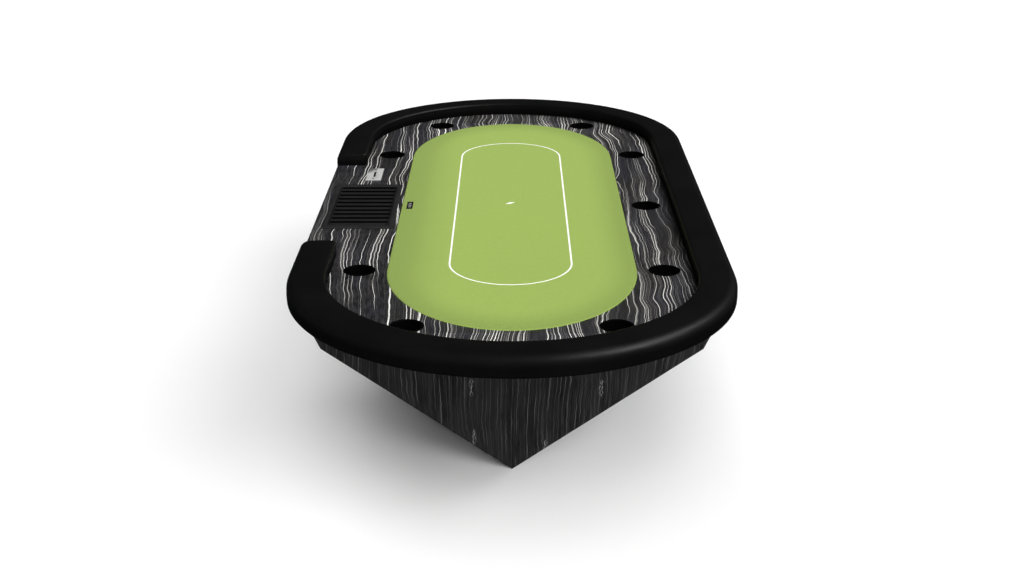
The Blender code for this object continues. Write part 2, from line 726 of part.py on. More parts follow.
def carrier(steel):
    """Folded steel channel hung under the deck, open to the dealer's side."""
    inner = DRAWER_HALF_WIDTH + CARRIER_CLEARANCE
    outer = inner + CARRIER_WALL
    flange = outer + CARRIER_FLANGE
    top = SUB_DECK_LOW - GAP
    floor = DRAWER_LOW - CARRIER_CLEARANCE
    under = floor - CARRIER_WALL
    right = [(outer, under), (outer, top - CARRIER_WALL), (flange, top - CARRIER_WALL)]
    right += [(flange, top), (inner, top), (inner, floor)]
    left = [(-y, z) for y, z in reversed(right)]
    length = DRAWER_BACK_X - DRAWER_FRONT_X
    middle = (DRAWER_BACK_X + DRAWER_FRONT_X) / 2
    turn = (math.pi / 2, 0, math.pi / 2)
    board("box_carrier", [right + left], 0.0, length, steel, turn, (middle, SLOT_CENTRE[1], 0.0))


def lock(zinc):
    """The cash drawer's cam lock: a barrel through the front with its cam behind."""
    length = LOCK_INNER_X - LOCK_OUTER_X
    profile = [(0, length), (LOCK_RADIUS, length), (LOCK_RADIUS, 0), (0, 0)]
    place = (LOCK_OUTER_X, SLOT_CENTRE[1], LOCK_Z)
    barrel = turned("drawer_lock", profile, LOCK_STEPS, place, zinc)
    barrel.rotation_euler = (0, math.pi / 2, 0)
    low = (LOCK_INNER_X - CAM_THICKNESS, SLOT_CENTRE[1], LOCK_Z - CAM_HALF_WIDTH)
    high = (LOCK_INNER_X + CAM_THICKNESS, SLOT_CENTRE[1] + CAM_LENGTH, LOCK_Z + CAM_HALF_WIDTH)
    combine(barrel, box("lock_cam", low, high, None, cutters), "UNION")


def build():
    """Clear the scene and make the whole table."""
    global parts, cutters
    for old in list(bpy.data.objects):
        bpy.data.objects.remove(old)
    parts = bpy.data.collections.new("poker_table")
    cutters = bpy.data.collections.new("cutters")
    for collection in (parts, cutters):
        bpy.context.scene.collection.children.link(collection)
    steel = material("painted_steel")
    zinc = material("zinc")
    brushed = material("brushed_steel")
    laminate = material("dark_laminate")
    hull_laminate = material("hull_laminate")
    plywood = material("plywood")
    foam = material("foam")
    cloth = material("lime_cloth")
    vinyl = material("black_vinyl")
    plastic = material("black_plastic")
    badge = material("badge")
    floor_parts(steel, zinc)
    hull_panels(hull_laminate)
    bulkheads(plywood)
    deck_parts(plywood, laminate)
    playfield_parts(plywood, foam, cloth, badge)
    rail_cores(plywood)
    rail_pad(vinyl)
    rail_bolts(zinc)
    cups(plastic)
    chip_tray(plastic)
    slot_parts(brushed, zinc)
    cash_box(steel)
    lock(zinc)


build()
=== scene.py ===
import json
import math

import bmesh
import bpy
from mathutils import Matrix, Vector

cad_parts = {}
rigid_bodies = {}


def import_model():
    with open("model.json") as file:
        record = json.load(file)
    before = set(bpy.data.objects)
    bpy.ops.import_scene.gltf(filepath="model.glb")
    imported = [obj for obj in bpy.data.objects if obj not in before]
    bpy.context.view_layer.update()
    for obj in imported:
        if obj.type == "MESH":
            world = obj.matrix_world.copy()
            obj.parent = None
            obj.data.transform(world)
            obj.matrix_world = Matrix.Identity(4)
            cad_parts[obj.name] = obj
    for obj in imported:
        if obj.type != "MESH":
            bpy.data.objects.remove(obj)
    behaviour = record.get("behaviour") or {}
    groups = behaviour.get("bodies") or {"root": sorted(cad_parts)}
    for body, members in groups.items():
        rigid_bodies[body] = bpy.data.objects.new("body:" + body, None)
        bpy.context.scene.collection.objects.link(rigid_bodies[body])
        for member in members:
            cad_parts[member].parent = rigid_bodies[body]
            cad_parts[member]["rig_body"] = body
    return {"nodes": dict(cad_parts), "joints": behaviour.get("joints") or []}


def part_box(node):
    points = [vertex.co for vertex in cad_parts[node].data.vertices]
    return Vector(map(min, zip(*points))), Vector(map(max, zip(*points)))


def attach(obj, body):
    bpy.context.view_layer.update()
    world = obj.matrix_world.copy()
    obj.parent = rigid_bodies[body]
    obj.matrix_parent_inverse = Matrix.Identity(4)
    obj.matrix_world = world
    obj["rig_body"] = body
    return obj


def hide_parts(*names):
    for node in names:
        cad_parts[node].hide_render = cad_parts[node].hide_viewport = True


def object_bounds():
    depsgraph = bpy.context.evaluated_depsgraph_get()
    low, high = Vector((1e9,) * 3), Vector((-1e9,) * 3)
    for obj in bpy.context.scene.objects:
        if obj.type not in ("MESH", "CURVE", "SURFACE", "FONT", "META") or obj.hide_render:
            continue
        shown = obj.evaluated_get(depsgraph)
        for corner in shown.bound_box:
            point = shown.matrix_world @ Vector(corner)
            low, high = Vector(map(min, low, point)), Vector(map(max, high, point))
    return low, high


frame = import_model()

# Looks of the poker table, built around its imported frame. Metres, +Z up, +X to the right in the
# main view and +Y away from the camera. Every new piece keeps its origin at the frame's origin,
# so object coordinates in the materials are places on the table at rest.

CAD_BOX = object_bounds()


def numbered(stem, count):
    """Names of numbered CAD nodes."""
    return [f"{stem}_{number}" for number in range(1, count + 1)]


CUPS = numbered("cup", 9)
RAIL_BOLTS = numbered("rail_bolt", 8)
ANCHOR_BOLTS = numbered("anchor_bolt", 4)
SLOT_SCREWS = numbered("slot_screw", 2)

# Rail section, measured inwards from the rail's outer face
RAIL_WIDTH = 0.104
SKIRT = 0.0225
INNER_LIP = 0.094
BULLNOSE = 0.027
INNER_ROUND = 0.009
HEM_ROUND = 0.003
CORE_CLEARANCE = 0.0006
CROWN = 0.0009
BULGE = 0.0005
END_ROUNDS = {"outer": 0.018, "top": 0.012, "inner": 0.012}
END_WALL = 0.0045
PLEAT_DEPTH = 0.0007
PLEAT_PITCH = 0.0085
PLEAT_REACH = 0.024

# Steps
ARC_STEPS = 96
SIDE_STEP = 0.03
ROUND_STEPS = 56

# Mesh work: corners closer than this are joined, and edges sharper than this stay sharp
WELD = 0.00001
SHARP = math.radians(38)
ALONG_X = Matrix.Rotation(math.pi / 2, 4, "Y")

# Deck and cloth
LAMINATE_EDGE = 0.0006
CLOTH_THICKNESS = 0.0006
CLOTH_ROLL = 0.0036
# Colour of the painted shade on the cloth towards its edge and on its left side
CLOTH_PAINTED_SHADE = (0.195, 0.275, 0.06)
THREAD_PITCH = 0.0011
FOAM_EDGE = 0.002
PRINT_THICKNESS = 0.00012
LINE_CENTRE = (-0.004, 0.0185)
LINE_HALF_WIDTH = 0.1735
LINE_STRAIGHT = 0.552
LINE_WIDTH = 0.005
MARK_CENTRE = (-0.006, 0.025)
MARK_HALF = (0.019, 0.0075)
MARK_LEAN = math.radians(32.0)
BAR_PITCH = 0.017
BAR_HALF = 0.0042

# Tray, slot plate and screws
TUBES = 10
TUBE_PITCH = 0.0394
TUBE_RADIUS = 0.0193
TUBE_SINK = 0.0047
TUBE_HALF_LENGTH = 0.0895
TUBE_WALL = 0.0058
TUBE_ROUND = 0.0015
TRAY_GAP = 0.001
SLOT_HALF_LENGTH = 0.032
SLOT_RADIUS = 0.0036
SCREW_HOLE_RADIUS = 0.0024
SCREW_HEAD = 0.0012
RECESS_HALF = (0.0022, 0.0004)
RECESS_DEPTH = 0.0007

# Cups, bolts and the lock
CUP_RADIUS = 0.0405
CUP_HOLE_RADIUS = 0.0413
CUP_TAPER = 0.003
CUP_FLOOR = 0.0015
CUP_RIM = 0.0008
CUP_MOUTH = 0.0012
CUP_WELL = 0.006
BOLT_HEAD = 0.005
BOLT_HOLE_RADIUS = 0.0046
LOCK_RADIUS = 0.009

# Laminate of the racetrack: where its streaks change towards the dealer's side and towards its
# edge there, and how they turn in at the near end
DEALER_FADE = (-0.42, -0.05)
BORDER_FADE = (-0.605, -0.545)
TURN_IN_FROM = 0.45
TURN_IN = 0.11

# Plywood's ply thickness
PLY = 0.003

# Knots of the hull's laminate: where they are along a panel and up it, and their size
KNOTS = ((-0.12, 0.365), (0.262, 0.362), (-0.115, 0.15), (0.102, 0.1), (0.47, 0.6))
KNOT_HALF_HEIGHT = 0.04
KNOT_LOOP = 0.034
KNOT_SPREAD = 0.0042

# Camera: it looks along +Y and down, from above the near end
CAMERA_PLACE = (0.0, -4.357, 2.15)
CAMERA_TILT = math.radians(68.9)
CAMERA_LENS = 50.35
SENSOR = 36.0


# ---------------------------------------------------------------- frame readings

def node_straight(node):
    """Half the length of the straight sides of a CAD node with rounded ends."""
    vertices = frame["nodes"][node].data.vertices
    widest = max(vertex.co.x for vertex in vertices)
    return max(vertex.co.y for vertex in vertices if widest - vertex.co.x < 0.0001)


def node_centre(node):
    """Middle of a CAD node's box."""
    low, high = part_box(node)
    return (low + high) / 2


def half_size(node, margin=0.0):
    """Half of a CAD node's width and of its length, with a margin."""
    low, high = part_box(node)
    return (high.x - low.x) / 2 + margin, (high.y - low.y) / 2 + margin


def joint_point(name):
    """Where a joint's axis is, in the table's frame."""
    joint = next(item for item in frame["joints"] if item["name"] == name)
    return Vector(joint["pos_m"])


PAD_LOW, PAD_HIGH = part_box("rail_pad")
PAD_STRAIGHT = node_straight("rail_pad")


# ---------------------------------------------------------------- materials

def grey(tone):
    """A neutral colour."""
    return (tone, tone, tone)


class Look:
    """One material, with short calls to build its node tree."""

    def __init__(self, name, metallic, specular):
        self.material = bpy.data.materials.new(name)
        self.material.use_nodes = True
        self.tree = self.material.node_tree
        self.shader = self.tree.nodes["Principled BSDF"]
        self.coordinates = self.tree.nodes.new("ShaderNodeTexCoord")
        self.place = self.coordinates.outputs["Object"]
        self.base = grey(0.5)
        self.set("Metallic", metallic)
        self.set("Specular IOR Level", specular)

    def feed(self, socket, value):
        """Link an output to a socket, or set the socket's own value."""
        if isinstance(value, bpy.types.NodeSocket):
            self.tree.links.new(value, socket)
        elif socket.type == "RGBA":
            socket.default_value = (*value[:3], 1)
        else:
            socket.default_value = value

    def set(self, name, value):
        """Set or link one of the shader's sockets."""
        self.feed(self.shader.inputs[name], value)

    def add(self, kind, inputs=None, **settings):
        """A new node with its settings and inputs."""
        made = self.tree.nodes.new("ShaderNode" + kind)
        for key, value in settings.items():
            setattr(made, key, value)
        for key, value in (inputs or {}).items():
            self.feed(made.inputs[key], value)
        return made

    def math(self, operation, *values):
        """One Math node."""
        made = self.add("Math", operation=operation)
        for socket, value in zip(made.inputs, values):
            self.feed(socket, value)
        return made.outputs[0]

    def sum(self, *values):
        """Sum of several values."""
        total = values[0]
        for value in values[1:]:
            total = self.math("ADD", total, value)
        return total

    def times(self, first, second):
        """Two values multiplied."""
        return self.math("MULTIPLY", first, second)

    def less(self, first, second):
        """The first value less the second."""
        return self.math("SUBTRACT", first, second)

    def size(self, value):
        """A value without its sign."""
        return self.math("ABSOLUTE", value)

    def axes(self, place=None):
        """The three coordinates of a place."""
        return self.add("SeparateXYZ", {"Vector": place or self.place}).outputs

    def point(self, x, y, z):
        """A place from three coordinates."""
        return self.add("CombineXYZ", {"X": x, "Y": y, "Z": z}).outputs[0]

    def scaled(self, scale, place=None, shift=(0, 0, 0)):
        """A place with one scale, or one for each axis, and a shift."""
        if isinstance(scale, (int, float)):
            scale = (scale, scale, scale)
        inputs = {"Vector": place or self.place, "Scale": scale, "Location": shift}
        return self.add("Mapping", inputs).outputs[0]

    def noise(self, scale, detail=2, roughness=0.5, place=None, shift=(0, 0, 0)):
        """Noise from 0 to 1."""
        spot = self.scaled(scale, place, shift)
        inputs = {"Vector": spot, "Scale": 1, "Detail": detail, "Roughness": roughness}
        return self.add("TexNoise", inputs).outputs["Fac"]

    def sway(self, scale, reach, detail=1, shift=(0, 0, 0)):
        """A smooth push to either side, of about a quarter of its reach."""
        return self.times(self.less(self.noise(scale, detail, 0.5, None, shift), 0.5), reach)

    def cells(self, scale, feature="F1"):
        """Distance to the nearest point, or edge, of a Voronoi pattern."""
        inputs = {"Vector": self.scaled(scale), "Scale": 1}
        return self.add("TexVoronoi", inputs, feature=feature).outputs["Distance"]

    def share_out(self, half_width, half_length, straight):
        """How far out a place is in a stadium: 0 in the middle and 1 on its outline."""
        x, y = self.axes()[:2]
        over = self.math("MAXIMUM", self.less(self.size(y), straight), 0)
        rise = self.math("POWER", self.times(over, 1 / (half_length - straight)), 2)
        side = self.math("POWER", self.times(x, 1 / half_width), 2)
        return self.math("SQRT", self.sum(rise, side))

    def edge_on(self, axis=2):
        """1 where a surface faces away from an axis of the table, and 0 where it faces along it."""
        normal = self.axes(self.coordinates.outputs["Normal"])[axis]
        return self.levels(self.size(normal), 0.4, 0.6, 1, 0)

    def levels(self, value, low, high, to_low=0, to_high=1, smooth=True):
        """A value stretched from one range to another, and held inside it."""
        inputs = {"Value": value, "From Min": low, "From Max": high, "To Min": to_low, "To Max": to_high}
        kind = "SMOOTHSTEP" if smooth else "LINEAR"
        return self.add("MapRange", inputs, interpolation_type=kind).outputs["Result"]

    def mix(self, share, first, second):
        """Two colours mixed by a share."""
        made = self.add("Mix", data_type="RGBA")
        self.feed(made.inputs["Factor"], share)
        self.feed(made.inputs[6], first)
        self.feed(made.inputs[7], second)
        return made.outputs[2]

    def bump(self, height, distance, strength=1, below=None):
        """A bump from a height, on top of another bump where one is given."""
        inputs = {"Height": height, "Distance": distance, "Strength": strength}
        if below is not None:
            inputs["Normal"] = below
        return self.add("Bump", inputs).outputs["Normal"]

    def coat(self, share, colour):
        """Lay a colour over the look's base colour, by a share."""
        self.base = self.mix(share, self.base, colour)

    def done(self, roughness, normal):
        """The finished material, with its base colour, roughness and bumps."""
        self.set("Base Color", self.base)
        self.set("Roughness", roughness)
        self.set("Normal", normal)
        return self.material


def streak_lines(look, across, along, spacing, cover, width, seed, reach=1.1):
    """Pale lines that run along the grain, wander together and taper out: 0 to 1."""
    spot = look.point(across, along, seed)
    uneven = look.noise((0.5 / spacing, 0.45, 1), 0, 0.5, spot)
    phase = look.sum(look.times(across, 1 / spacing), look.times(uneven, 1.7))
    off = look.size(look.less(look.math("FRACT", phase), 0.5))
    body = look.noise((0.9 / spacing, reach, 1), 1, 0.5, spot, (3.1, 7.7, 0))
    breadth = look.levels(body, 1 - cover, 1 - cover + 0.3, -0.02, width, False)
    return look.levels(off, look.times(breadth, 0.55), look.sum(breadth, 0.012), 1, 0)


def inside_rail(look):
    """How far out a place is on the deck: 0 in the middle and 1 at the rail's inner wall."""
    return look.share_out(PAD_HIGH.x - RAIL_WIDTH, PAD_HIGH.y - RAIL_WIDTH, PAD_STRAIGHT)


def racetrack_look():
    """Charcoal laminate with cream streaks along the table and a fine grey grain, and a painted shadow of
    the rail along its inner wall.
    """
    look = Look("racetrack_laminate", 0, 0.3)
    x, y, z = look.axes()
    dealer = look.levels(x, *DEALER_FADE, 1, 0)

    def by_side(players, dealers):
        """A value that changes from the players' side to the dealer's."""
        return look.levels(dealer, 0, 1, players, dealers)

    wander = look.sum(
        look.sway((3.4, 2.5, 0), 0.085),
        look.sway((6.5, 8.5, 0), 0.028, 1, (5, 2, 0)),
        look.sway((30, 30, 0), 0.0032),
    )
    near_end = look.math("MINIMUM", look.sum(y, TURN_IN_FROM), 0)
    turn_in = look.times(near_end, look.times(dealer, TURN_IN))
    across = look.sum(x, turn_in, look.times(wander, by_side(1, 0.65)))
    warped = look.point(across, y, z)
    bold = streak_lines(look, across, y, 0.033, 0.5, 0.11, 0)
    line = streak_lines(look, across, y, 0.0112, 0.6, 0.2, 4)
    thin = streak_lines(look, across, y, 0.0074, 0.55, 0.16, 7)
    faint = streak_lines(look, across, y, 0.0042, 0.6, 0.26, 9, 3)
    bundle = look.noise((20, 0.8, 0), 1, 0.5, warped, (1.3, 4.2, 0))
    group = look.levels(bundle, by_side(0.375, 0.48), by_side(0.455, 0.54))
    pale = look.levels(look.noise((75, 1.2, 0), 0, 0.5, warped), 0.35, 0.6, 0.4, 1)
    grain = look.noise((330, 16, 1), 3, 0.6, warped)
    tone = look.mix(look.levels(grain, 0.3, 0.72), (0.01, 0.0098, 0.0105), (0.038, 0.037, 0.04))
    hue = look.noise((7, 3, 0), 1, 0.5, warped, (8, 1, 0))
    cast = look.mix(look.levels(hue, 0.35, 0.65), (0.03, 0.029, 0.043), (0.029, 0.027, 0.024))
    look.base = look.mix(0.35, tone, cast)
    mottle = look.noise((110, 24, 0), 4, 0.65, warped, (2, 7, 0))
    mottle = look.levels(mottle, 0.46, 0.58, 0, 0.75)
    look.coat(look.times(mottle, by_side(0.1, 1)), (0.007, 0.007, 0.0075))
    share = look.times(faint, look.levels(group, 0, 1, 0.12, 0.4))
    look.coat(share, (0.22, 0.21, 0.2))
    share = look.times(look.times(thin, pale), look.levels(group, 0, 1, 0, 0.55))
    look.coat(look.times(share, by_side(1, 0.5)), (0.45, 0.44, 0.4))
    share = look.times(look.times(line, pale), look.levels(group, 0, 1, 0.04, 1))
    border = look.levels(x, *BORDER_FADE, 0.25, 1)
    look.coat(look.times(share, border), (0.86, 0.85, 0.79))
    look.coat(look.times(bold, by_side(0.35, 1)), (0.93, 0.92, 0.88))
    # Painted shadow of the rail on the deck along its inner wall, wider on the right and none on the
    # dealer's side
    shaded_crease = look.levels(inside_rail(look), look.levels(x, -0.1, 0.1, 0.985, 0.935), 1)
    look.coat(look.times(shaded_crease, by_side(0.97, 0)), grey(0.002))
    side = look.mix(look.levels(grain, 0.3, 0.7), (0.006, 0.006, 0.0065), (0.014, 0.014, 0.0145))
    look.coat(look.edge_on(), side)
    look.set("Coat Weight", 0.05)
    look.set("Coat Roughness", 0.25)
    bump = look.bump(look.noise((420, 60, 40), 2), 0.00012, 0.5)
    return look.done(look.levels(grain, 0.2, 0.8, 0.36, 0.5), bump)


def knot_chains(look, run, z):
    """The knots: nearness to the closest one, and the pale broken loops along it. Both 0 to 1."""
    near = 0
    chain = 0
    spot = look.point(look.times(run, 0.4), 0, z)
    wobble = look.times(look.less(look.noise((9, 1, 48), 2, 0.6, spot), 0.5), 0.016)
    shift = look.times(look.noise((9, 1, 26), 1, 0.5, spot, (3, 1, 0)), 9)
    turn = look.sum(look.times(z, math.pi / KNOT_LOOP), shift)
    spread = look.times(look.size(look.math("SINE", turn)), KNOT_SPREAD)
    breaks = look.noise((700, 1, 70), 1, 0.5, look.point(run, 0, z))
    whole = look.levels(breaks, 0.42, 0.56, 0.15, 1)
    for across, height in KNOTS:
        side = look.size(look.less(look.sum(run, wobble), across))
        rise = look.size(look.less(z, height))
        inside = look.levels(rise, 0.6 * KNOT_HALF_HEIGHT, KNOT_HALF_HEIGHT, 1, 0)
        strand = look.size(look.less(side, spread))
        loops = look.times(look.levels(strand, 0.0004, 0.0014, 1, 0), inside)
        chain = look.math("MAXIMUM", chain, loops)
        close = look.times(look.levels(side, 0, 0.012, 1, 0), inside)
        near = look.math("MAXIMUM", near, close)
    return near, look.times(chain, whole)


def hull_look(name, sideways):
    """Near-black laminate with a fine pale grain up the panel and a few knots."""
    look = Look(name, 0, 0.3)
    x, y, z = look.axes()
    run = y if sideways else x
    wander = look.sum(
        look.sway((3, 3, 1.8), 0.06),
        look.sway((9, 9, 7), 0.012),
        look.sway((30, 30, 42), 0.0062, 2),
    )
    near, chain = knot_chains(look, run, z)
    pushed = look.sum(run, wander, look.times(near, 0.006))
    bold = streak_lines(look, pushed, z, 0.015, 0.68, 0.07, 0, 7)
    thin = streak_lines(look, pushed, z, 0.0075, 0.7, 0.09, 5, 8)
    fine = streak_lines(look, pushed, z, 0.0032, 0.62, 0.2, 8, 12)
    warped = look.point(pushed, z, 0)
    grain = look.noise((420, 22, 1), 3, 0.65, warped)
    broad = look.noise((14, 1.6, 0), 2, 0.5, warped)
    look.base = look.mix(look.levels(grain, 0.28, 0.75), (0.0045, 0.0045, 0.0048), (0.016, 0.016, 0.0165))
    look.coat(look.levels(broad, 0.38, 0.62, 0, 0.4), (0.024, 0.024, 0.025))
    look.coat(look.times(fine, 0.3), grey(0.055))
    look.coat(look.times(thin, 0.7), (0.07, 0.07, 0.069))
    strength = look.noise((34, 3, 0), 1, 0.5, warped, (2, 5, 0))
    strength = look.levels(strength, 0.35, 0.65, 0.35, 1)
    look.coat(look.times(bold, strength), (0.105, 0.104, 0.101))
    look.coat(look.times(chain, 0.85), (0.36, 0.36, 0.35))
    bump = look.bump(look.noise((300, 300, 60), 2), 0.00012, 0.6)
    return look.done(look.levels(grain, 0.2, 0.8, 0.42, 0.58), bump)


def cloth_look():
    """Lime speed cloth: a fine twill with mottled dye and a soft nap, and painted shade towards its edge
    and on its left side.
    """
    look = Look("lime_cloth", 0, 0.1)
    x, y = look.axes()[:2]
    thread = 2 * math.pi / THREAD_PITCH
    twill = look.math("SINE", look.times(look.sum(x, y), thread))
    cross = look.math("SINE", look.times(look.less(x, y), thread / 2))
    weave = look.times(look.sum(twill, 1), look.sum(cross, 1.6))
    mottle = look.noise((70, 45, 20), 3, 0.55)
    fuzz = look.noise(900, 3, 0.7)
    broad = look.noise((2.6, 2, 1), 1)
    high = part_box("playfield_cloth")[1]
    out = look.share_out(high.x, high.y, node_straight("playfield_cloth"))
    left = look.levels(x, -high.x, -0.45 * high.x, 1, 0)
    look.base = look.mix(look.levels(mottle, 0.25, 0.75), (0.278, 0.386, 0.081), (0.29, 0.402, 0.087))
    look.coat(look.levels(broad, 0.3, 0.7, 0, 0.2), (0.266, 0.367, 0.083))
    look.coat(look.levels(fuzz, 0.55, 0.8, 0, 0.25), (0.36, 0.47, 0.15))
    look.coat(look.levels(weave, 0, 1.4, 0.12, 0), (0.16, 0.23, 0.05))
    # Painted shade: darker towards the cloth's edge, and more on its left side
    look.coat(look.levels(out, 0.68, 1, 0, 0.8), CLOTH_PAINTED_SHADE)
    look.coat(look.times(left, 0.8), CLOTH_PAINTED_SHADE)
    look.set("Sheen Weight", 0.12)
    look.set("Sheen Roughness", 0.6)
    look.set("Sheen Tint", (0.75, 0.85, 0.45))
    height = look.sum(look.times(weave, 0.2), look.times(fuzz, 0.9))
    return look.done(look.levels(fuzz, 0.2, 0.8, 0.86, 0.98), look.bump(height, 0.00022, 0.55))


def print_look():
    """White print ink, broken a little by the cloth under it."""
    look = Look("white_print", 0, 0.2)
    fuzz = look.noise((1100, 1100, 300), 3, 0.7)
    look.base = look.mix(look.levels(fuzz, 0.5, 0.8, 0, 0.35), (0.93, 0.94, 0.88), (0.7, 0.78, 0.5))
    return look.done(look.levels(fuzz, 0.2, 0.8, 0.7, 0.9), look.bump(fuzz, 0.0001, 0.5))


def vinyl_look():
    """Black upholstery vinyl with a pressed leather grain, painted shade in the grain's creases and painted
    shade on the faces below its top.
    """
    look = Look("black_vinyl", 0, 0.25)
    z = look.axes()[2]
    pebble = look.cells(620, "SMOOTH_F1")
    shaded_crease = look.cells(300, "DISTANCE_TO_EDGE")
    fine = look.noise(1400, 2)
    wear = look.noise(6, 3)
    top = PAD_HIGH.z
    on_top = look.levels(z, top - 1.3 * BULLNOSE, top - 0.4 * BULLNOSE, 0.24, 1)
    shoulder = look.levels(z, top - INNER_ROUND, top - 0.3 * INNER_ROUND, 0.02, 0.25)
    off_inside = look.levels(inside_rail(look), 1.006, 1.03, 0.02, 0.25)
    shine = look.times(on_top, look.math("MAXIMUM", off_inside, shoulder))
    look.set("Specular IOR Level", shine)
    look.base = look.mix(look.levels(wear, 0.3, 0.7), (0.0028, 0.0028, 0.0029), (0.004, 0.004, 0.0039))
    # Painted shade in the grain's creases
    look.coat(look.levels(shaded_crease, 0, 0.06, 0.5, 0), (0.0017, 0.0017, 0.0018))
    # Painted shade: the faces below the rail's top are darker than the top
    look.coat(look.levels(on_top, 0.24, 1, 0.6, 0), grey(0.0012))
    uneven = look.sum(look.times(wear, 0.12), look.times(fine, 0.08), 0.32)
    grain = look.bump(pebble, 0.00016, 0.45)
    grain = look.bump(look.levels(shaded_crease, 0, 0.12), 0.00012, 0.35, grain)
    return look.done(uneven, grain)


def plastic_look(name, colour, roughness, texture, specular=0.35):
    """Moulded plastic with a spark-eroded texture and faint scuffs."""
    look = Look(name, 0, specular)
    spark = look.noise(texture, 2, 0.6)
    scuff = look.noise((140, 9, 60), 3, 0.7)
    cloud = look.noise(14, 2)
    lighter, scuffed = ([factor * channel for channel in colour] for factor in (1.5, 2.6))
    look.base = look.mix(look.levels(cloud, 0.35, 0.7, 0, 0.5), colour, lighter)
    look.coat(look.levels(scuff, 0.66, 0.8, 0, 0.22), scuffed)
    rough = look.levels(scuff, 0.3, 0.8, roughness - 0.06, roughness + 0.1)
    return look.done(rough, look.bump(spark, 0.00008, 0.5))


def tray_look():
    """Dark grey plastic, with painted shade on the tube walls towards the ridges between them."""
    look = Look("tray_plastic", 0, 0.2)
    x, _, z = look.axes()
    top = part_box("chip_tray")[1].z
    spark = look.noise(1200, 2, 0.6)
    cloud = look.noise(14, 2)
    look.base = look.mix(look.levels(cloud, 0.35, 0.7), (0.0078, 0.0078, 0.0081), (0.0095, 0.0095, 0.0098))
    along = look.size(look.less(x, node_centre("chip_tray").x))
    in_tube = look.levels(along, TUBE_HALF_LENGTH - 0.002, TUBE_HALF_LENGTH, 1, 0)
    # Painted shade: the tube walls go near black towards the ridges, with less specular there
    painted_ridge_shade = look.times(look.levels(z, top - TUBE_WALL, top - 0.6 * TUBE_WALL), in_tube)
    look.coat(painted_ridge_shade, grey(0.0008))
    look.set("Specular IOR Level", look.levels(painted_ridge_shade, 0, 1, 0.2, 0.02))
    return look.done(look.levels(cloud, 0.3, 0.8, 0.5, 0.62), look.bump(spark, 0.00008, 0.5))


def brushed_look():
    """Satin brushed metal with its brush lines along the plate, and a painted dark reflection in its far
    left corner.
    """
    look = Look("brushed_plate", 0.22, 0.5)
    low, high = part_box("slot_plate")
    x, y = look.axes()[:2]
    lines = look.noise((2600, 26, 1), 3, 0.7)
    streak = look.noise((420, 9, 1), 2, 0.6)
    look.base = look.mix(lines, (0.52, 0.52, 0.515), (0.7, 0.7, 0.69))
    look.coat(look.levels(streak, 0.35, 0.65, 0, 0.22), (0.5, 0.5, 0.495))
    # Painted reflection: a dark patch towards the plate's far left corner
    left = look.levels(x, low.x, low.x + 0.8 * (high.x - low.x), 1, 0, False)
    far = look.levels(y, low.y + 0.45 * (high.y - low.y), high.y, 0, 1, False)
    look.coat(look.levels(look.times(left, far), 0.06, 0.6, 0, 0.92), grey(0.1))
    return look.done(look.levels(lines, 0.2, 0.8, 0.3, 0.48), look.bump(lines, 0.00004, 0.5))


def zinc_look():
    """Zinc-plated steel with a cloudy, slightly yellow passivation."""
    look = Look("zinc_steel", 1, 0.5)
    cloud = look.noise(60, 3)
    spangle = look.cells(180)
    look.base = look.mix(look.levels(cloud, 0.35, 0.65), (0.5, 0.51, 0.53), (0.62, 0.6, 0.53))
    look.coat(look.levels(spangle, 0, 0.7, 0, 0.25), (0.4, 0.41, 0.43))
    return look.done(look.levels(cloud, 0.3, 0.7, 0.28, 0.44), look.bump(cloud, 0.00006, 0.4))


def painted_look():
    """Black powder-coated steel with its orange-peel surface and rubbed spots."""
    look = Look("painted_steel", 0, 0.5)
    peel = look.noise(420, 1)
    rub = look.noise(22, 4, 0.7)
    look.base = look.mix(look.levels(peel, 0.3, 0.7), (0.014, 0.014, 0.015), (0.022, 0.022, 0.023))
    look.coat(look.levels(rub, 0.66, 0.78, 0, 0.5), (0.05, 0.05, 0.052))
    return look.done(look.levels(rub, 0.3, 0.8, 0.36, 0.55), look.bump(peel, 0.0002, 0.5))


def plywood_look(name, upright, stained=False):
    """Birch plywood: a veneer figure on the faces and plies on the edges, or all stained black."""
    look = Look(name, 0, 0.25)
    y, z = look.axes()[1:]
    depth = y if upright else z
    along = look.noise((90, 5, 5) if upright else (70, 4, 60), 4, 0.6)
    rings = look.noise((9, 1.2, 1.2) if upright else (9, 1, 9), 2)
    pores = look.noise((600, 40, 40), 2, 0.6)
    figure = look.levels(along, 0.3, 0.7)
    face = look.mix(figure, (0.44, 0.29, 0.15), (0.58, 0.42, 0.25))
    face = look.mix(look.levels(rings, 0.45, 0.6, 0, 0.35), face, (0.36, 0.22, 0.11))
    face = look.mix(look.levels(pores, 0.62, 0.8, 0, 0.35), face, (0.25, 0.15, 0.07))
    ply = look.math("FRACT", look.times(depth, 1 / PLY))
    band = look.levels(look.size(look.less(ply, 0.5)), 0.22, 0.28)
    edge = look.mix(band, (0.46, 0.31, 0.17), (0.24, 0.14, 0.07))
    if stained:
        edge = look.mix(look.times(band, 0.5), (0.0065, 0.0063, 0.0062), (0.0105, 0.01, 0.0095))
        face = look.mix(0.92, face, look.mix(figure, grey(0.006), (0.013, 0.012, 0.012)))
    look.base = look.mix(look.edge_on(1 if upright else 2), face, edge)
    return look.done(look.levels(along, 0.3, 0.7, 0.6, 0.76), look.bump(pores, 0.00015, 0.5))


def foam_look():
    """Grey closed-cell foam."""
    look = Look("foam", 0, 0.1)
    cell = look.cells(900)
    cloud = look.noise(40, 2)
    look.base = look.mix(look.levels(cell, 0, 0.7), (0.12, 0.12, 0.13), (0.24, 0.24, 0.26))
    look.coat(look.levels(cloud, 0.3, 0.7, 0, 0.3), (0.17, 0.17, 0.18))
    return look.done(look.levels(cell, 0, 0.7, 0.9, 1), look.bump(cell, 0.0003, 0.8))


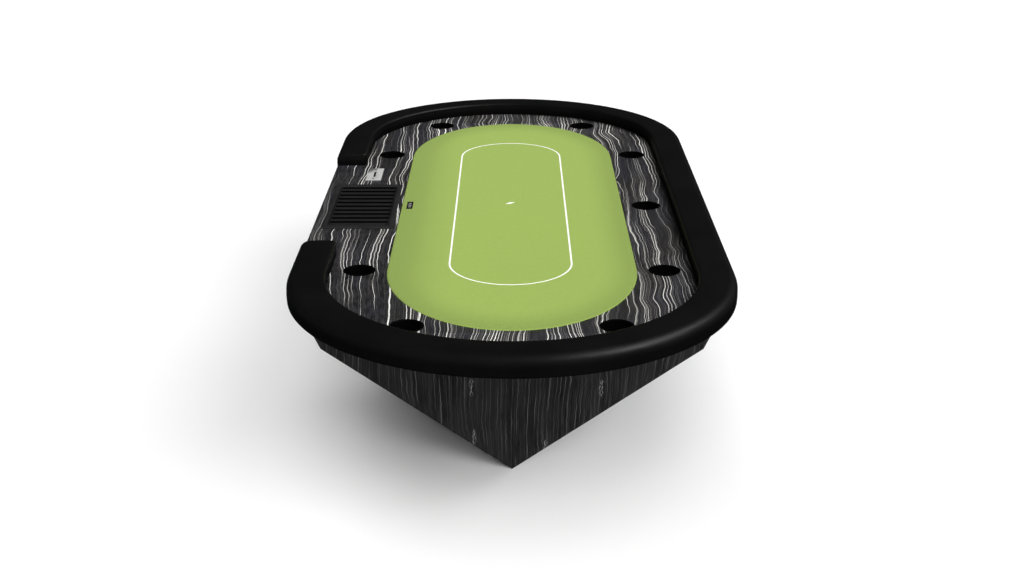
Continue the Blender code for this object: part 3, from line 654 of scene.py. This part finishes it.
def make_looks():
    """All the materials by name, with the record's slot that each belongs to."""
    return {
        "racetrack": (racetrack_look(), "racetrack_laminate"),
        "hull_end": (hull_look("hull_laminate_ends", False), "hull_laminate"),
        "hull_side": (hull_look("hull_laminate_sides", True), "hull_laminate"),
        "cloth": (cloth_look(), "lime_cloth"),
        "print": (print_look(), None),
        "vinyl": (vinyl_look(), "black_vinyl"),
        "cup": (plastic_look("cup_plastic", grey(0.0006), 0.6, 1500, 0.06), "black_plastic"),
        "tray": (tray_look(), "black_plastic"),
        "frame": (plastic_look("frame_plastic", grey(0.016), 0.5, 1400, 0.25), "black_plastic"),
        "badge": (plastic_look("badge_face", grey(0.01), 0.45, 1600), "badge"),
        "badge_print": (plastic_look("badge_print", (0.22, 0.22, 0.21), 0.6, 1600), None),
        "brushed": (brushed_look(), "brushed_plate"),
        "zinc": (zinc_look(), "zinc_steel"),
        "steel": (painted_look(), "painted_steel"),
        "plywood": (plywood_look("plywood_flat", False), "plywood"),
        "plywood_stained": (plywood_look("plywood_stained", False, True), "plywood"),
        "plywood_upright": (plywood_look("plywood_upright", True), "plywood"),
        "foam": (foam_look(), "foam"),
    }


# ---------------------------------------------------------------- mesh helpers

def linked(name, data):
    """A new object in the scene."""
    made = bpy.data.objects.new(name, data)
    bpy.context.scene.collection.objects.link(made)
    return made


def smooth(mesh):
    """Smooth shading, with sharp edges where faces meet at a clear angle."""
    mesh.shade_smooth()
    mesh.set_sharp_from_angle(angle=SHARP)


def evaluated_mesh(made):
    """A piece's mesh with its modifiers applied."""
    bpy.context.view_layer.update()
    evaluated = made.evaluated_get(bpy.context.evaluated_depsgraph_get())
    return bpy.data.meshes.new_from_object(evaluated)


def node_shape(node):
    """A CAD node's own mesh with its doubled corners joined, to work on."""
    shape = bmesh.new()
    shape.from_mesh(frame["nodes"][node].data)
    bmesh.ops.remove_doubles(shape, verts=shape.verts, dist=WELD)
    return shape


def bridge(shape, rings):
    """Faces from each closed ring of corners to the next, where a ring may be one point."""
    for first, second in zip(rings, rings[1:]):
        for index in range(len(first)):
            after = (index + 1) % len(first)
            corners = [first[index], first[after], second[after], second[index]]
            corners = list(dict.fromkeys(corners))
            if len(corners) > 2:
                shape.faces.new(corners)


def add_piece(name, mesh, look):
    """Link a new piece with its material, smooth-shaded."""
    made = linked(name, mesh)
    mesh.materials.clear()
    mesh.materials.append(LOOKS[look][0])
    smooth(mesh)
    return made


def finish_piece(made, nodes=(), body=None):
    """Put a piece on its body, and hide the CAD nodes that it stands for."""
    if not body:
        body = frame["nodes"][nodes[0]]["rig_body"]
    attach(made, body)
    if nodes:
        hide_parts(*nodes)
    return made


def from_bmesh(name, shape, look):
    """A piece from a finished bmesh."""
    bmesh.ops.recalc_face_normals(shape, faces=shape.faces)
    mesh = bpy.data.meshes.new(name)
    shape.to_mesh(mesh)
    shape.free()
    return add_piece(name, mesh, look)


def round_edges(made, width):
    """Round a piece's sharp edges, and keep its flat faces flat."""
    bevel = made.modifiers.new("edges", "BEVEL")
    bevel.width = width
    bevel.segments = 2
    bevel.limit_method = "ANGLE"
    bevel.angle_limit = SHARP
    bevel.harden_normals = True
    return made


def refined(node, name, look, width):
    """A CAD node's own shape with its edges rounded, standing for the node."""
    shape = node_shape(node)
    bmesh.ops.dissolve_limit(
        shape, angle_limit=math.radians(0.5), verts=shape.verts, edges=shape.edges
    )
    made = round_edges(from_bmesh(name, shape, look), width)
    return finish_piece(made, [node])


def sheet_cut(name, outlines, low, high, look, edge=0.0):
    """A flat piece cut to its first outline with the others as holes, and rounded edges."""
    curve = bpy.data.curves.new(name, "CURVE")
    curve.dimensions = "2D"
    curve.fill_mode = "BOTH"
    curve.extrude = (high - low) / 2 - edge
    curve.bevel_depth = edge
    curve.bevel_resolution = 1
    curve.offset = -edge
    for outline in outlines:
        spline = curve.splines.new("POLY")
        spline.points.add(len(outline) - 1)
        spline.use_cyclic_u = True
        for point, (x, y) in zip(spline.points, outline):
            point.co = (x, y, 0.0, 1.0)
    holder = linked(name + "_outline", curve)
    mesh = evaluated_mesh(holder)
    bpy.data.objects.remove(holder)
    shape = bmesh.new()
    shape.from_mesh(mesh)
    bpy.data.meshes.remove(mesh)
    bmesh.ops.translate(shape, vec=(0.0, 0.0, (low + high) / 2), verts=shape.verts)
    bmesh.ops.remove_doubles(shape, verts=shape.verts, dist=WELD / 2)
    return from_bmesh(name, shape, look)


def flat_part(name, node, outlines, look, edge):
    """A flat piece cut from outlines at a CAD node's heights, standing for the node."""
    low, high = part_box(node)
    return finish_piece(sheet_cut(name, outlines, low.z, high.z, look, edge), [node])


def turned(name, profile, look, place=(0.0, 0.0, 0.0), turn=None, steps=ROUND_STEPS):
    """A turned piece from a profile of radius and height, closed on its axis at both ends."""
    shape = bmesh.new()
    rings = []
    for radius, height in profile:
        if radius < 0.000001:
            rings.append([shape.verts.new((0.0, 0.0, height))] * steps)
        else:
            corners = circle((0.0, 0.0), radius, steps)
            rings.append([shape.verts.new((x, y, height)) for x, y in corners])
    bridge(shape, rings)
    matrix = Matrix.Translation(place) @ (turn or Matrix.Identity(4))
    bmesh.ops.transform(shape, matrix=matrix, verts=shape.verts)
    return from_bmesh(name, shape, look)


def cut_away(made, cutters):
    """Cut closed shapes out of a piece, and keep the result as its mesh."""
    for cutter in cutters:
        step = made.modifiers.new("cut", "BOOLEAN")
        step.operation = "DIFFERENCE"
        step.object = cutter
        step.solver = "EXACT"
    mesh = evaluated_mesh(made)
    made.modifiers.clear()
    made.data = mesh
    for cutter in cutters:
        bpy.data.objects.remove(cutter)
    smooth(mesh)


def block(name, low, high, look):
    """A box between two corners."""
    shape = bmesh.new()
    bmesh.ops.create_cube(shape, size=1.0)
    bmesh.ops.scale(shape, vec=Vector(high) - Vector(low), verts=shape.verts)
    bmesh.ops.translate(shape, vec=(Vector(high) + Vector(low)) / 2, verts=shape.verts)
    return from_bmesh(name, shape, look)


def circle(centre, radius, steps=ROUND_STEPS):
    """Corners of a round hole or disc."""
    turns = [2 * math.pi * step / steps for step in range(steps)]
    return [(centre[0] + radius * math.cos(turn), centre[1] + radius * math.sin(turn)) for turn in turns]


def rounded_rectangle(centre, half, radius, steps=6):
    """Corners of a rectangle with round corners, anticlockwise."""
    points = []
    for quarter, (sx, sy) in enumerate(((1, 1), (-1, 1), (-1, -1), (1, -1))):
        for step in range(steps + 1):
            angle = math.pi / 2 * (quarter + step / steps)
            x = centre[0] + sx * (half[0] - radius) + radius * math.cos(angle)
            y = centre[1] + sy * (half[1] - radius) + radius * math.sin(angle)
            points.append((x, y))
    return points


def node_outline(node, radius, margin=0.0):
    """A CAD node's outline from above, with round corners and a margin."""
    return rounded_rectangle(node_centre(node), half_size(node, margin), radius)


def stadium(half_width, half_length, straight, centre=(0.0, 0.0)):
    """Closed outline with straight sides and half-ellipse ends, anticlockwise."""
    depth = half_length - straight
    points = []
    for end in (1, -1):
        for step in range(ARC_STEPS + 1):
            angle = math.pi * step / ARC_STEPS
            x = end * half_width * math.cos(angle)
            y = end * (straight + depth * math.sin(angle))
            points.append((centre[0] + x, centre[1] + y))
    return points


# ---------------------------------------------------------------- rail

def rail_end_point(angle, end, inset):
    """A point on a rail end's outer outline and its inward normal."""
    depth = PAD_HIGH.y - PAD_STRAIGHT
    point = Vector((PAD_HIGH.x * math.cos(angle), PAD_STRAIGHT + depth * math.sin(angle)))
    inward = -Vector((depth * math.cos(angle), PAD_HIGH.x * math.sin(angle))).normalized()
    return end * (point + inset * inward), end * inward


def end_offsets():
    """Distances from a rail end where its rounded corner has a station."""
    radius = END_ROUNDS["outer"]
    quarter = [radius * (1 - math.cos(math.pi / 2 * step / 8)) for step in range(9)]
    return sorted(quarter + [0.9 * END_WALL, END_WALL])


def rail_stations():
    """Outer points, inward normals and distances from the rail's end, all along the rail."""
    side, straight = PAD_HIGH.x, PAD_STRAIGHT
    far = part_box("rail_core_far")[0].y
    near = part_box("rail_core_near")[1].y
    stations = []

    def stub(end, start):
        """Stations from a rail end to where the curved end begins."""
        offsets = end_offsets()
        length = straight - abs(start)
        count = math.ceil((length - offsets[-1]) / SIDE_STEP)
        last = offsets[-1]
        offsets += [last + (length - last) * step / count for step in range(1, count)]
        return [(Vector((-side, start + end * off)), Vector((1, 0)), off) for off in offsets]

    def arc(end):
        """Stations round one curved end, from its left for the far end."""
        turns = [math.pi * (1 - step / ARC_STEPS) for step in range(ARC_STEPS + 1)]
        return [(*rail_end_point(turn, end, 0.0), 1.0) for turn in turns]

    stations += stub(1, far)
    stations += arc(1)
    count = math.ceil(2 * straight / SIDE_STEP)
    for step in range(1, count):
        y = straight - 2 * straight * step / count
        stations.append((Vector((side, y)), Vector((-1, 0)), 1.0))
    stations += arc(-1)
    stations += reversed(stub(-1, near))
    return stations


def corner_draw(name, off):
    """How far a rounded rail end draws in at a distance from the end."""
    radius = END_ROUNDS[name]
    if off >= radius:
        return 0.0
    return radius - math.sqrt(radius**2 - (radius - off) ** 2)


def arc_points(centre, radius, start, stop, steps):
    """Points on an arc, from one angle to another."""
    turns = [start + (stop - start) * step / steps for step in range(steps + 1)]
    return [Vector(centre) + radius * Vector((math.cos(turn), math.sin(turn))) for turn in turns]


def between(first, second, steps, swell):
    """Points strictly between two others, bowed out by a swell."""
    way = second - first
    side = Vector((way.y, -way.x)).normalized()
    points = []
    for step in range(1, steps):
        share = step / steps
        points.append(first + share * way - swell * math.sin(math.pi * share) * side)
    return points


def pad_section(off):
    """Closed section of the pad at a distance from the rail's end: inset and height."""
    core_low, core_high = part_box("rail_core_right")
    seat, roof = core_low.z, core_high.z + CORE_CLEARANCE
    outer = corner_draw("outer", off)
    inner = RAIL_WIDTH - corner_draw("inner", off)
    top = PAD_HIGH.z - corner_draw("top", off)
    lip = min(INNER_LIP, inner - 0.002)
    if off < END_WALL:
        roof = seat + 0.0001
    quarter = math.pi / 2
    hem = arc_points((outer + HEM_ROUND, PAD_LOW.z + HEM_ROUND), HEM_ROUND, -quarter, -2 * quarter, 4)
    nose = arc_points((outer + BULLNOSE, top - BULLNOSE), BULLNOSE, 2 * quarter, quarter, 14)
    shoulder = arc_points((inner - INNER_ROUND, top - INNER_ROUND), INNER_ROUND, quarter, 0.0, 7)
    foot = arc_points((inner - 0.002, seat + 0.002), 0.002, 0.0, -quarter, 3)
    skin = hem + between(hem[-1], nose[0], 6, BULGE) + nose
    skin += between(nose[-1], shoulder[0], 10, CROWN) + shoulder
    skin += between(shoulder[-1], foot[0], 5, BULGE) + foot
    if off < PLEAT_REACH:
        skin = pleated(skin, off)
    groove = ((lip, seat), (lip, roof), (SKIRT, roof), (SKIRT, PAD_LOW.z))
    return skin + [Vector(corner) for corner in groove]


def pleated(skin, off):
    """Small gathers where the vinyl is folded over the rail's end."""
    share = math.sin(math.pi * min(1.0, (off + 0.003) / PLEAT_REACH)) ** 2
    run = 0.0
    made = [skin[0]]
    for before, point, after in zip(skin, skin[1:], skin[2:]):
        run += (point - before).length
        way = (after - before).normalized()
        dip = PLEAT_DEPTH * share * (0.5 + 0.5 * math.cos(2 * math.pi * run / PLEAT_PITCH))
        made.append(point + dip * Vector((way.y, -way.x)))
    return made + [skin[-1]]


def rail_vinyl():
    """The padded armrest: tight vinyl over foam, swept round the table with rounded ends."""
    shape = bmesh.new()
    rings = []
    for point, inward, off in rail_stations():
        ring = []
        for inset, height in pad_section(off):
            spot = point + inset * inward
            ring.append(shape.verts.new((spot.x, spot.y, height)))
        rings.append(ring)
    bridge(shape, rings)
    caps = [shape.faces.new(ring) for ring in (rings[0], rings[-1])]
    bmesh.ops.triangulate(shape, faces=caps, ngon_method="EAR_CLIP")
    made = from_bmesh("rail_vinyl", shape, "vinyl")
    for face in made.data.polygons:
        face.use_smooth = abs(face.normal.y) < 0.9999
    finish_piece(made, ["rail_pad"])


def rail_cores():
    """The rail's plywood cores, cut back at the dealer's place so that the vinyl covers their ends."""
    paint("rail_core_right", "plywood")
    for node, end in (("rail_core_far", 1), ("rail_core_near", -1)):
        low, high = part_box(node)
        cut = low.y if end == 1 else high.y
        shape = node_shape(node)
        for vertex in shape.verts:
            if abs(vertex.co.y - cut) < 0.0001 and vertex.co.x < 0:
                vertex.co.y += end * (END_WALL + CORE_CLEARANCE)
        made = from_bmesh(node + "_board", shape, "plywood")
        finish_piece(made, [node])


def paint(node, look):
    """Give a CAD node its material."""
    data = frame["nodes"][node].data
    data.materials.clear()
    data.materials.append(LOOKS[look][0])


# ---------------------------------------------------------------- deck

def deck_edge():
    """The racetrack's outer outline, with the dealer's bay between the rail's ends."""
    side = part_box("rail_core_right")[1].x
    inset = PAD_HIGH.x - side
    edge = -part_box("racetrack")[0].x
    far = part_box("rail_core_far")[0].y - 0.001
    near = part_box("rail_core_near")[1].y + 0.001
    points = []
    for end in (1, -1):
        for step in range(ARC_STEPS + 1):
            points.append(tuple(rail_end_point(math.pi * step / ARC_STEPS, end, inset)[0]))
        if end == 1:
            points += [(-side, far), (-edge, far), (-edge, near), (-side, near)]
    return points


def racetrack():
    """The streaked laminate deck with its cup, tray, chute and playfield openings."""
    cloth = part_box("playfield_cloth")[1]
    straight = node_straight("playfield_cloth")
    outlines = [deck_edge(), stadium(cloth.x + CORE_CLEARANCE, cloth.y + CORE_CLEARANCE, straight)]
    outlines += [node_outline("chip_tray", 0.003, TRAY_GAP), node_outline("slot_chute", 0.0008, 0.0006)]
    for nodes, radius, steps in (
        (CUPS, CUP_HOLE_RADIUS, ROUND_STEPS), (RAIL_BOLTS, BOLT_HOLE_RADIUS, 16),
        (SLOT_SCREWS, SCREW_HOLE_RADIUS, 16),
    ):
        outlines += [circle(node_centre(node), radius, steps) for node in nodes]
    flat_part("racetrack_deck", "racetrack", outlines, "racetrack", LAMINATE_EDGE)


def playfield():
    """The lime cloth over its foam, the printed line and mark, and the small badge."""
    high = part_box("playfield_cloth")[1]
    straight = node_straight("playfield_cloth")
    paint("playfield_board", "plywood")
    inset = 2 * CLOTH_THICKNESS
    outline = stadium(high.x - inset, high.y - inset, straight)
    foam = flat_part("playfield_cushion", "playfield_foam", [outline], "foam", FOAM_EDGE)
    fabric = cloth_skin(high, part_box("playfield_foam")[0].z, straight)
    edges = []
    for half in (LINE_HALF_WIDTH + LINE_WIDTH / 2, LINE_HALF_WIDTH - LINE_WIDTH / 2):
        edges.append(stadium(half, LINE_STRAIGHT + half, LINE_STRAIGHT, LINE_CENTRE))
    line = on_top("betting_line", edges, high.z, PRINT_THICKNESS, "print")
    mark = on_top("centre_mark", [leaf(MARK_CENTRE)], high.z, PRINT_THICKNESS, "print")
    badge()


def on_top(name, outlines, height, thickness, look):
    """A thin printed shape that lies on a surface of the table."""
    made = sheet_cut(name, outlines, height, height + thickness, look)
    return finish_piece(made, body="table")


def leaf(centre):
    """Outline of a plain slim lozenge that leans to one side."""
    turn = Matrix.Rotation(MARK_LEAN, 2)
    points = []
    for along, across in ((1, 0), (0.15, 1), (-1, 0), (-0.15, -1)):
        points.append(Vector(centre) + turn @ Vector((along * MARK_HALF[0], across * MARK_HALF[1])))
    return points


def cloth_skin(high, foot, straight):
    """The cloth itself: flat on top, rolled over the foam's edge and down its side."""
    roll = (CLOTH_ROLL, high.z - CLOTH_ROLL)
    rows = [(0.0, foot + 0.0002), *arc_points(roll, CLOTH_ROLL, math.pi, math.pi / 2, 8)]
    rows += [(0.012, high.z), (0.03, high.z)]
    shape = bmesh.new()
    rings = []
    for inset, height in rows:
        outline = stadium(high.x - inset, high.y - inset, straight)
        rings.append([shape.verts.new((x, y, height)) for x, y in outline])
    bridge(shape, rings)
    shape.faces.new(rings[-1])
    made = from_bmesh("playfield_fabric", shape, "cloth")
    solid = made.modifiers.new("thickness", "SOLIDIFY")
    solid.thickness = CLOTH_THICKNESS
    solid.offset = -1.0
    return finish_piece(made, ["playfield_cloth"])


def badge():
    """A small dark badge on the cloth with three plain pale bars."""
    flat_part("badge_plate", "cloth_badge", [node_outline("cloth_badge", 0.0016)], "badge", 0.0001)
    centre = node_centre("cloth_badge")
    bars = []
    for number, reach in ((-1, 0.0042), (0, 0.0052), (1, 0.0042)):
        place = (centre.x, centre.y + number * BAR_PITCH)
        bars.append(rounded_rectangle(place, (reach, BAR_HALF), 0.0012))
    on_top("badge_bars", bars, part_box("cloth_badge")[1].z, 0.0002, "badge_print")


# ---------------------------------------------------------------- cups, tray and slot

def cups():
    """Drop-in cups with a rolled rim, tapered wall and rounded floor."""
    quarter = math.pi / 2
    for node in CUPS:
        low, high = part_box(node)
        centre = node_centre(node)
        flange = half_size(node)[0]
        foot = CUP_RADIUS - CUP_TAPER
        floor = low.z + CUP_FLOOR
        rim = arc_points((flange - CUP_RIM, high.z - CUP_RIM), CUP_RIM, -quarter, quarter, 6)
        mouth = arc_points((CUP_RADIUS - 0.0015, high.z - CUP_MOUTH), CUP_MOUTH, quarter, math.pi, 4)
        well = arc_points((foot - 0.0075, floor + CUP_WELL), CUP_WELL, 0.0, -quarter, 6)
        profile = [(0.0, low.z), (foot - 0.006, low.z), (foot - 0.0015, low.z + 0.002)]
        profile += [(foot, low.z + 0.006), (CUP_RADIUS, high.z - 0.01), (CUP_RADIUS, high.z - 0.0016)]
        profile += [*rim, *mouth, (CUP_RADIUS - 0.003, high.z - 0.008), *well, (0.0, floor)]
        made = turned(f"{node}_shell", profile, "cup", (centre.x, centre.y, 0.0))
        finish_piece(made, [node])


def chip_tray():
    """The lift-out tray with its row of half-round tubes, and the surround it sits in."""
    low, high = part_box("chip_tray")
    centre = node_centre("chip_tray")
    made = block("tray_tubes", low, high, "tray")
    end, rounding = TUBE_HALF_LENGTH, TUBE_ROUND
    profile = [(0.0, -end), (TUBE_RADIUS - rounding, -end), (TUBE_RADIUS, rounding - end)]
    profile += [(TUBE_RADIUS, end - rounding), (TUBE_RADIUS - rounding, end), (0.0, end)]
    rods = []
    for number in range(TUBES):
        across = centre.y + (number - (TUBES - 1) / 2) * TUBE_PITCH
        place = (centre.x, across, high.z + TUBE_SINK)
        rods.append(turned(f"rod_{number}", profile, "tray", place, ALONG_X))
    cut_away(made, rods)
    finish_piece(made, ["chip_tray"])
    outlines = [node_outline("tray_frame", 0.004), node_outline("chip_tray", 0.001, TRAY_GAP)]
    flat_part("tray_surround", "tray_frame", outlines, "frame", 0.001)


def slot_parts():
    """The brushed plate with its slot, two screws and the chute below it."""
    half = (SLOT_RADIUS, SLOT_HALF_LENGTH)
    slot = rounded_rectangle(node_centre("slot_plate"), half, SLOT_RADIUS - 0.0002, 8)
    outlines = [node_outline("slot_plate", 0.0015), slot]
    outlines += [circle(node_centre(node), SCREW_HOLE_RADIUS, 20) for node in SLOT_SCREWS]
    flat_part("slot_cover", "slot_plate", outlines, "brushed", 0.0004)
    for node in SLOT_SCREWS:
        screw(node)
    refined("slot_chute", "slot_throat", "zinc", 0.0003)


def screw(node):
    """A pan-head screw with a cross recess."""
    low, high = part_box(node)
    centre = node_centre(node)
    head = half_size(node)[0]
    seat = high.z - SCREW_HEAD
    dome = arc_points((0.0, high.z - 2 * head), 2 * head, math.radians(61), math.radians(90), 6)
    profile = [(0.0, low.z), (0.0016, low.z), (0.002, low.z + 0.001), (0.002, seat), (head, seat)]
    profile += [*dome[:-1], (0.0, high.z)]
    made = turned(f"{node}_body", profile, "zinc", (centre.x, centre.y, 0.0), None, 32)
    cutters = []
    for name, half in (("along", RECESS_HALF), ("over", RECESS_HALF[::-1])):
        bottom = (centre.x - half[0], centre.y - half[1], high.z - RECESS_DEPTH)
        roof = (centre.x + half[0], centre.y + half[1], high.z + 0.001)
        cutters.append(block("recess_" + name, bottom, roof, "zinc"))
    cut_away(made, cutters)
    finish_piece(made, [node])


# ---------------------------------------------------------------- hull and fasteners

def bolt(node, head_up):
    """A hexagon bolt with its washer face, chamfered head and shank."""
    low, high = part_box(node)
    centre = node_centre(node)
    head_radius = half_size(node)[0]
    turn = Matrix.Identity(4) if head_up else Matrix.Rotation(math.pi, 4, "X")
    tip = BOLT_HEAD - (high.z - low.z)
    seat = high.z - BOLT_HEAD if head_up else low.z + BOLT_HEAD
    place = (centre.x, centre.y, seat)
    profile = [(0.0, tip), (0.0034, tip), (0.004, tip + 0.0008), (0.004, 0.0), (head_radius, 0.0)]
    profile += [(head_radius, 0.0008), (head_radius * 0.95, 0.0009), (0.0, 0.0009)]
    shank = turned(f"{node}_shank", profile, "zinc", place, turn, 24)
    hexagon = [(0.0, 0.0007), (head_radius * 0.93, 0.0007), (head_radius * 0.93, BOLT_HEAD - 0.0007)]
    hexagon += [(head_radius * 0.8, BOLT_HEAD), (0.0, BOLT_HEAD)]
    cap = turned(f"{node}_hexagon", hexagon, "zinc", place, turn, 6)
    cap.data.set_sharp_from_angle(angle=math.radians(20))
    finish_piece(shank, [node])
    finish_piece(cap, body=frame["nodes"][node]["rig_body"])


def drawer_lock():
    """Cam lock: a barrel with a raised ring and a keyway, and the cam behind."""
    low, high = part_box("drawer_lock")
    axis = joint_point("lock_turn")
    radius = LOCK_RADIUS
    length = high.x - low.x - 0.002
    profile = [(0.0, 0.0), (radius - 0.0035, 0.0), (radius - 0.003, 0.0006), (radius - 0.0022, 0.0006)]
    profile += [(radius - 0.0018, 0.0), (radius - 0.0006, 0.0), (radius, 0.0006)]
    profile += [(radius, length - 0.0006), (radius - 0.0006, length), (0.0, length)]
    face = Vector((low.x, axis.y, axis.z))
    barrel = turned("lock_barrel", profile, "zinc", face, ALONG_X, 48)
    key = Vector((0.0, 0.0007, 0.0034))
    keyway = block("keyway", face - key - Vector((0.001, 0, 0)), face + key + Vector((0.004, 0, 0)), "zinc")
    cut_away(barrel, [keyway])
    finish_piece(barrel, ["drawer_lock"])
    cam_low = (high.x - 0.004, axis.y - 0.004, axis.z - 0.005)
    cam_high = (high.x, high.y, axis.z + 0.005)
    cam = round_edges(block("lock_cam", cam_low, cam_high, "zinc"), 0.0008)
    finish_piece(cam, body="lock")


def hull():
    """Laminate panels, drawer front, frames, spine and floor plate, with rounded edges."""
    for node in ("hull_front", "hull_rear"):
        refined(node, node + "_panel", "hull_end", 0.0005)
    for node in ("hull_left_lower", "hull_left_upper", "hull_right_lower", "hull_right_upper"):
        refined(node, node + "_panel", "hull_side", 0.0005)
    refined("drawer_front", "drawer_face", "hull_side", 0.0006)
    refined("cash_box", "cash_box_shell", "steel", 0.0006)
    refined("box_carrier", "box_carrier_channel", "zinc", 0.0005)
    refined("floor_plate", "floor_plate_steel", "steel", 0.001)
    refined("keel_spine", "keel_spine_steel", "steel", 0.0008)
    paint("bulkhead_near", "plywood_upright")
    paint("bulkhead_far", "plywood_upright")
    paint("sub_deck", "plywood_stained")
    for node in RAIL_BOLTS:
        bolt(node, False)
    for node in ANCHOR_BOLTS:
        bolt(node, True)
    drawer_lock()


# ---------------------------------------------------------------- stage

# Soft distant lamps: degrees round from +X, degrees up, strength, and whether it lights surfaces or
# only shows in glossy ones
LIGHTS = {
    "front_low": (270, 34, 1.46, True),
    "front_high": (270, 52, 1.39, True),
    "front_right": (300, 34, 2.34, True),
    "left_high": (180, 72, 0.42, True),
    "right_low": (30, 18, 0.93, True),
    "gleam": (341, 44, 1.55, False),
    "side_gleam": (20, 42, 0.6, False),
}
LIGHT_SPREAD = math.radians(26.0)
SKY_SEEN = 1.2
SKY_FILL = 0.02
SKY_MIRRORED = 0.02


def studio_sky(scene):
    """White surroundings that fill the shadows a little and hardly show in glossy surfaces."""
    world = bpy.data.worlds.new("studio")
    scene.world = world
    world.use_nodes = True
    tree = world.node_tree
    sky = tree.nodes["Background"]
    sky.inputs["Color"].default_value = (1.0, 1.0, 1.0, 1.0)
    path = tree.nodes.new("ShaderNodeLightPath")
    socket = None
    for ray, strength in (("Is Glossy Ray", SKY_MIRRORED), ("Is Camera Ray", SKY_SEEN)):
        choice = tree.nodes.new("ShaderNodeMix")
        choice.inputs[2].default_value = SKY_FILL
        choice.inputs[3].default_value = strength
        if socket:
            tree.links.new(socket, choice.inputs[2])
        tree.links.new(path.outputs[ray], choice.inputs["Factor"])
        socket = choice.outputs[0]
    tree.links.new(socket, sky.inputs["Strength"])


def stage():
    """White floor, soft studio lights and the camera."""
    scene = bpy.context.scene
    scene.view_settings.view_transform = "Standard"
    shape = bmesh.new()
    bmesh.ops.create_grid(shape, x_segments=1, y_segments=1, size=60.0)
    mesh = bpy.data.meshes.new("floor")
    shape.to_mesh(mesh)
    shape.free()
    floor = linked("floor", mesh)
    floor.location.z = CAD_BOX[0].z - 0.0003
    floor.visible_glossy = False
    white = Look("floor_white", 0, 0)
    white.set("Roughness", 0.9)
    white.set("Base Color", grey(0.88))
    mesh.materials.append(white.material)
    for name, (azimuth, elevation, strength, lights) in LIGHTS.items():
        lamp = bpy.data.lights.new(name, "SUN")
        lamp.angle = LIGHT_SPREAD
        lamp.energy = strength
        holder = linked(name, lamp)
        holder.visible_glossy = not lights
        holder.visible_diffuse = lights
        turn, rise = math.radians(azimuth), math.radians(elevation)
        towards = Vector((math.cos(turn) * math.cos(rise), math.sin(turn) * math.cos(rise), math.sin(rise)))
        holder.rotation_euler = (-towards).to_track_quat("-Z", "Y").to_euler()
    studio_sky(scene)
    lens = bpy.data.cameras.new("camera")
    lens.sensor_width = SENSOR
    lens.lens = CAMERA_LENS
    camera = linked("camera", lens)
    camera.location = CAMERA_PLACE
    camera.rotation_euler = (CAMERA_TILT, 0.0, 0.0)
    scene.camera = camera


LOOKS = make_looks()
rail_vinyl()
rail_cores()
racetrack()
playfield()
cups()
chip_tray()
slot_parts()
hull()
stage()
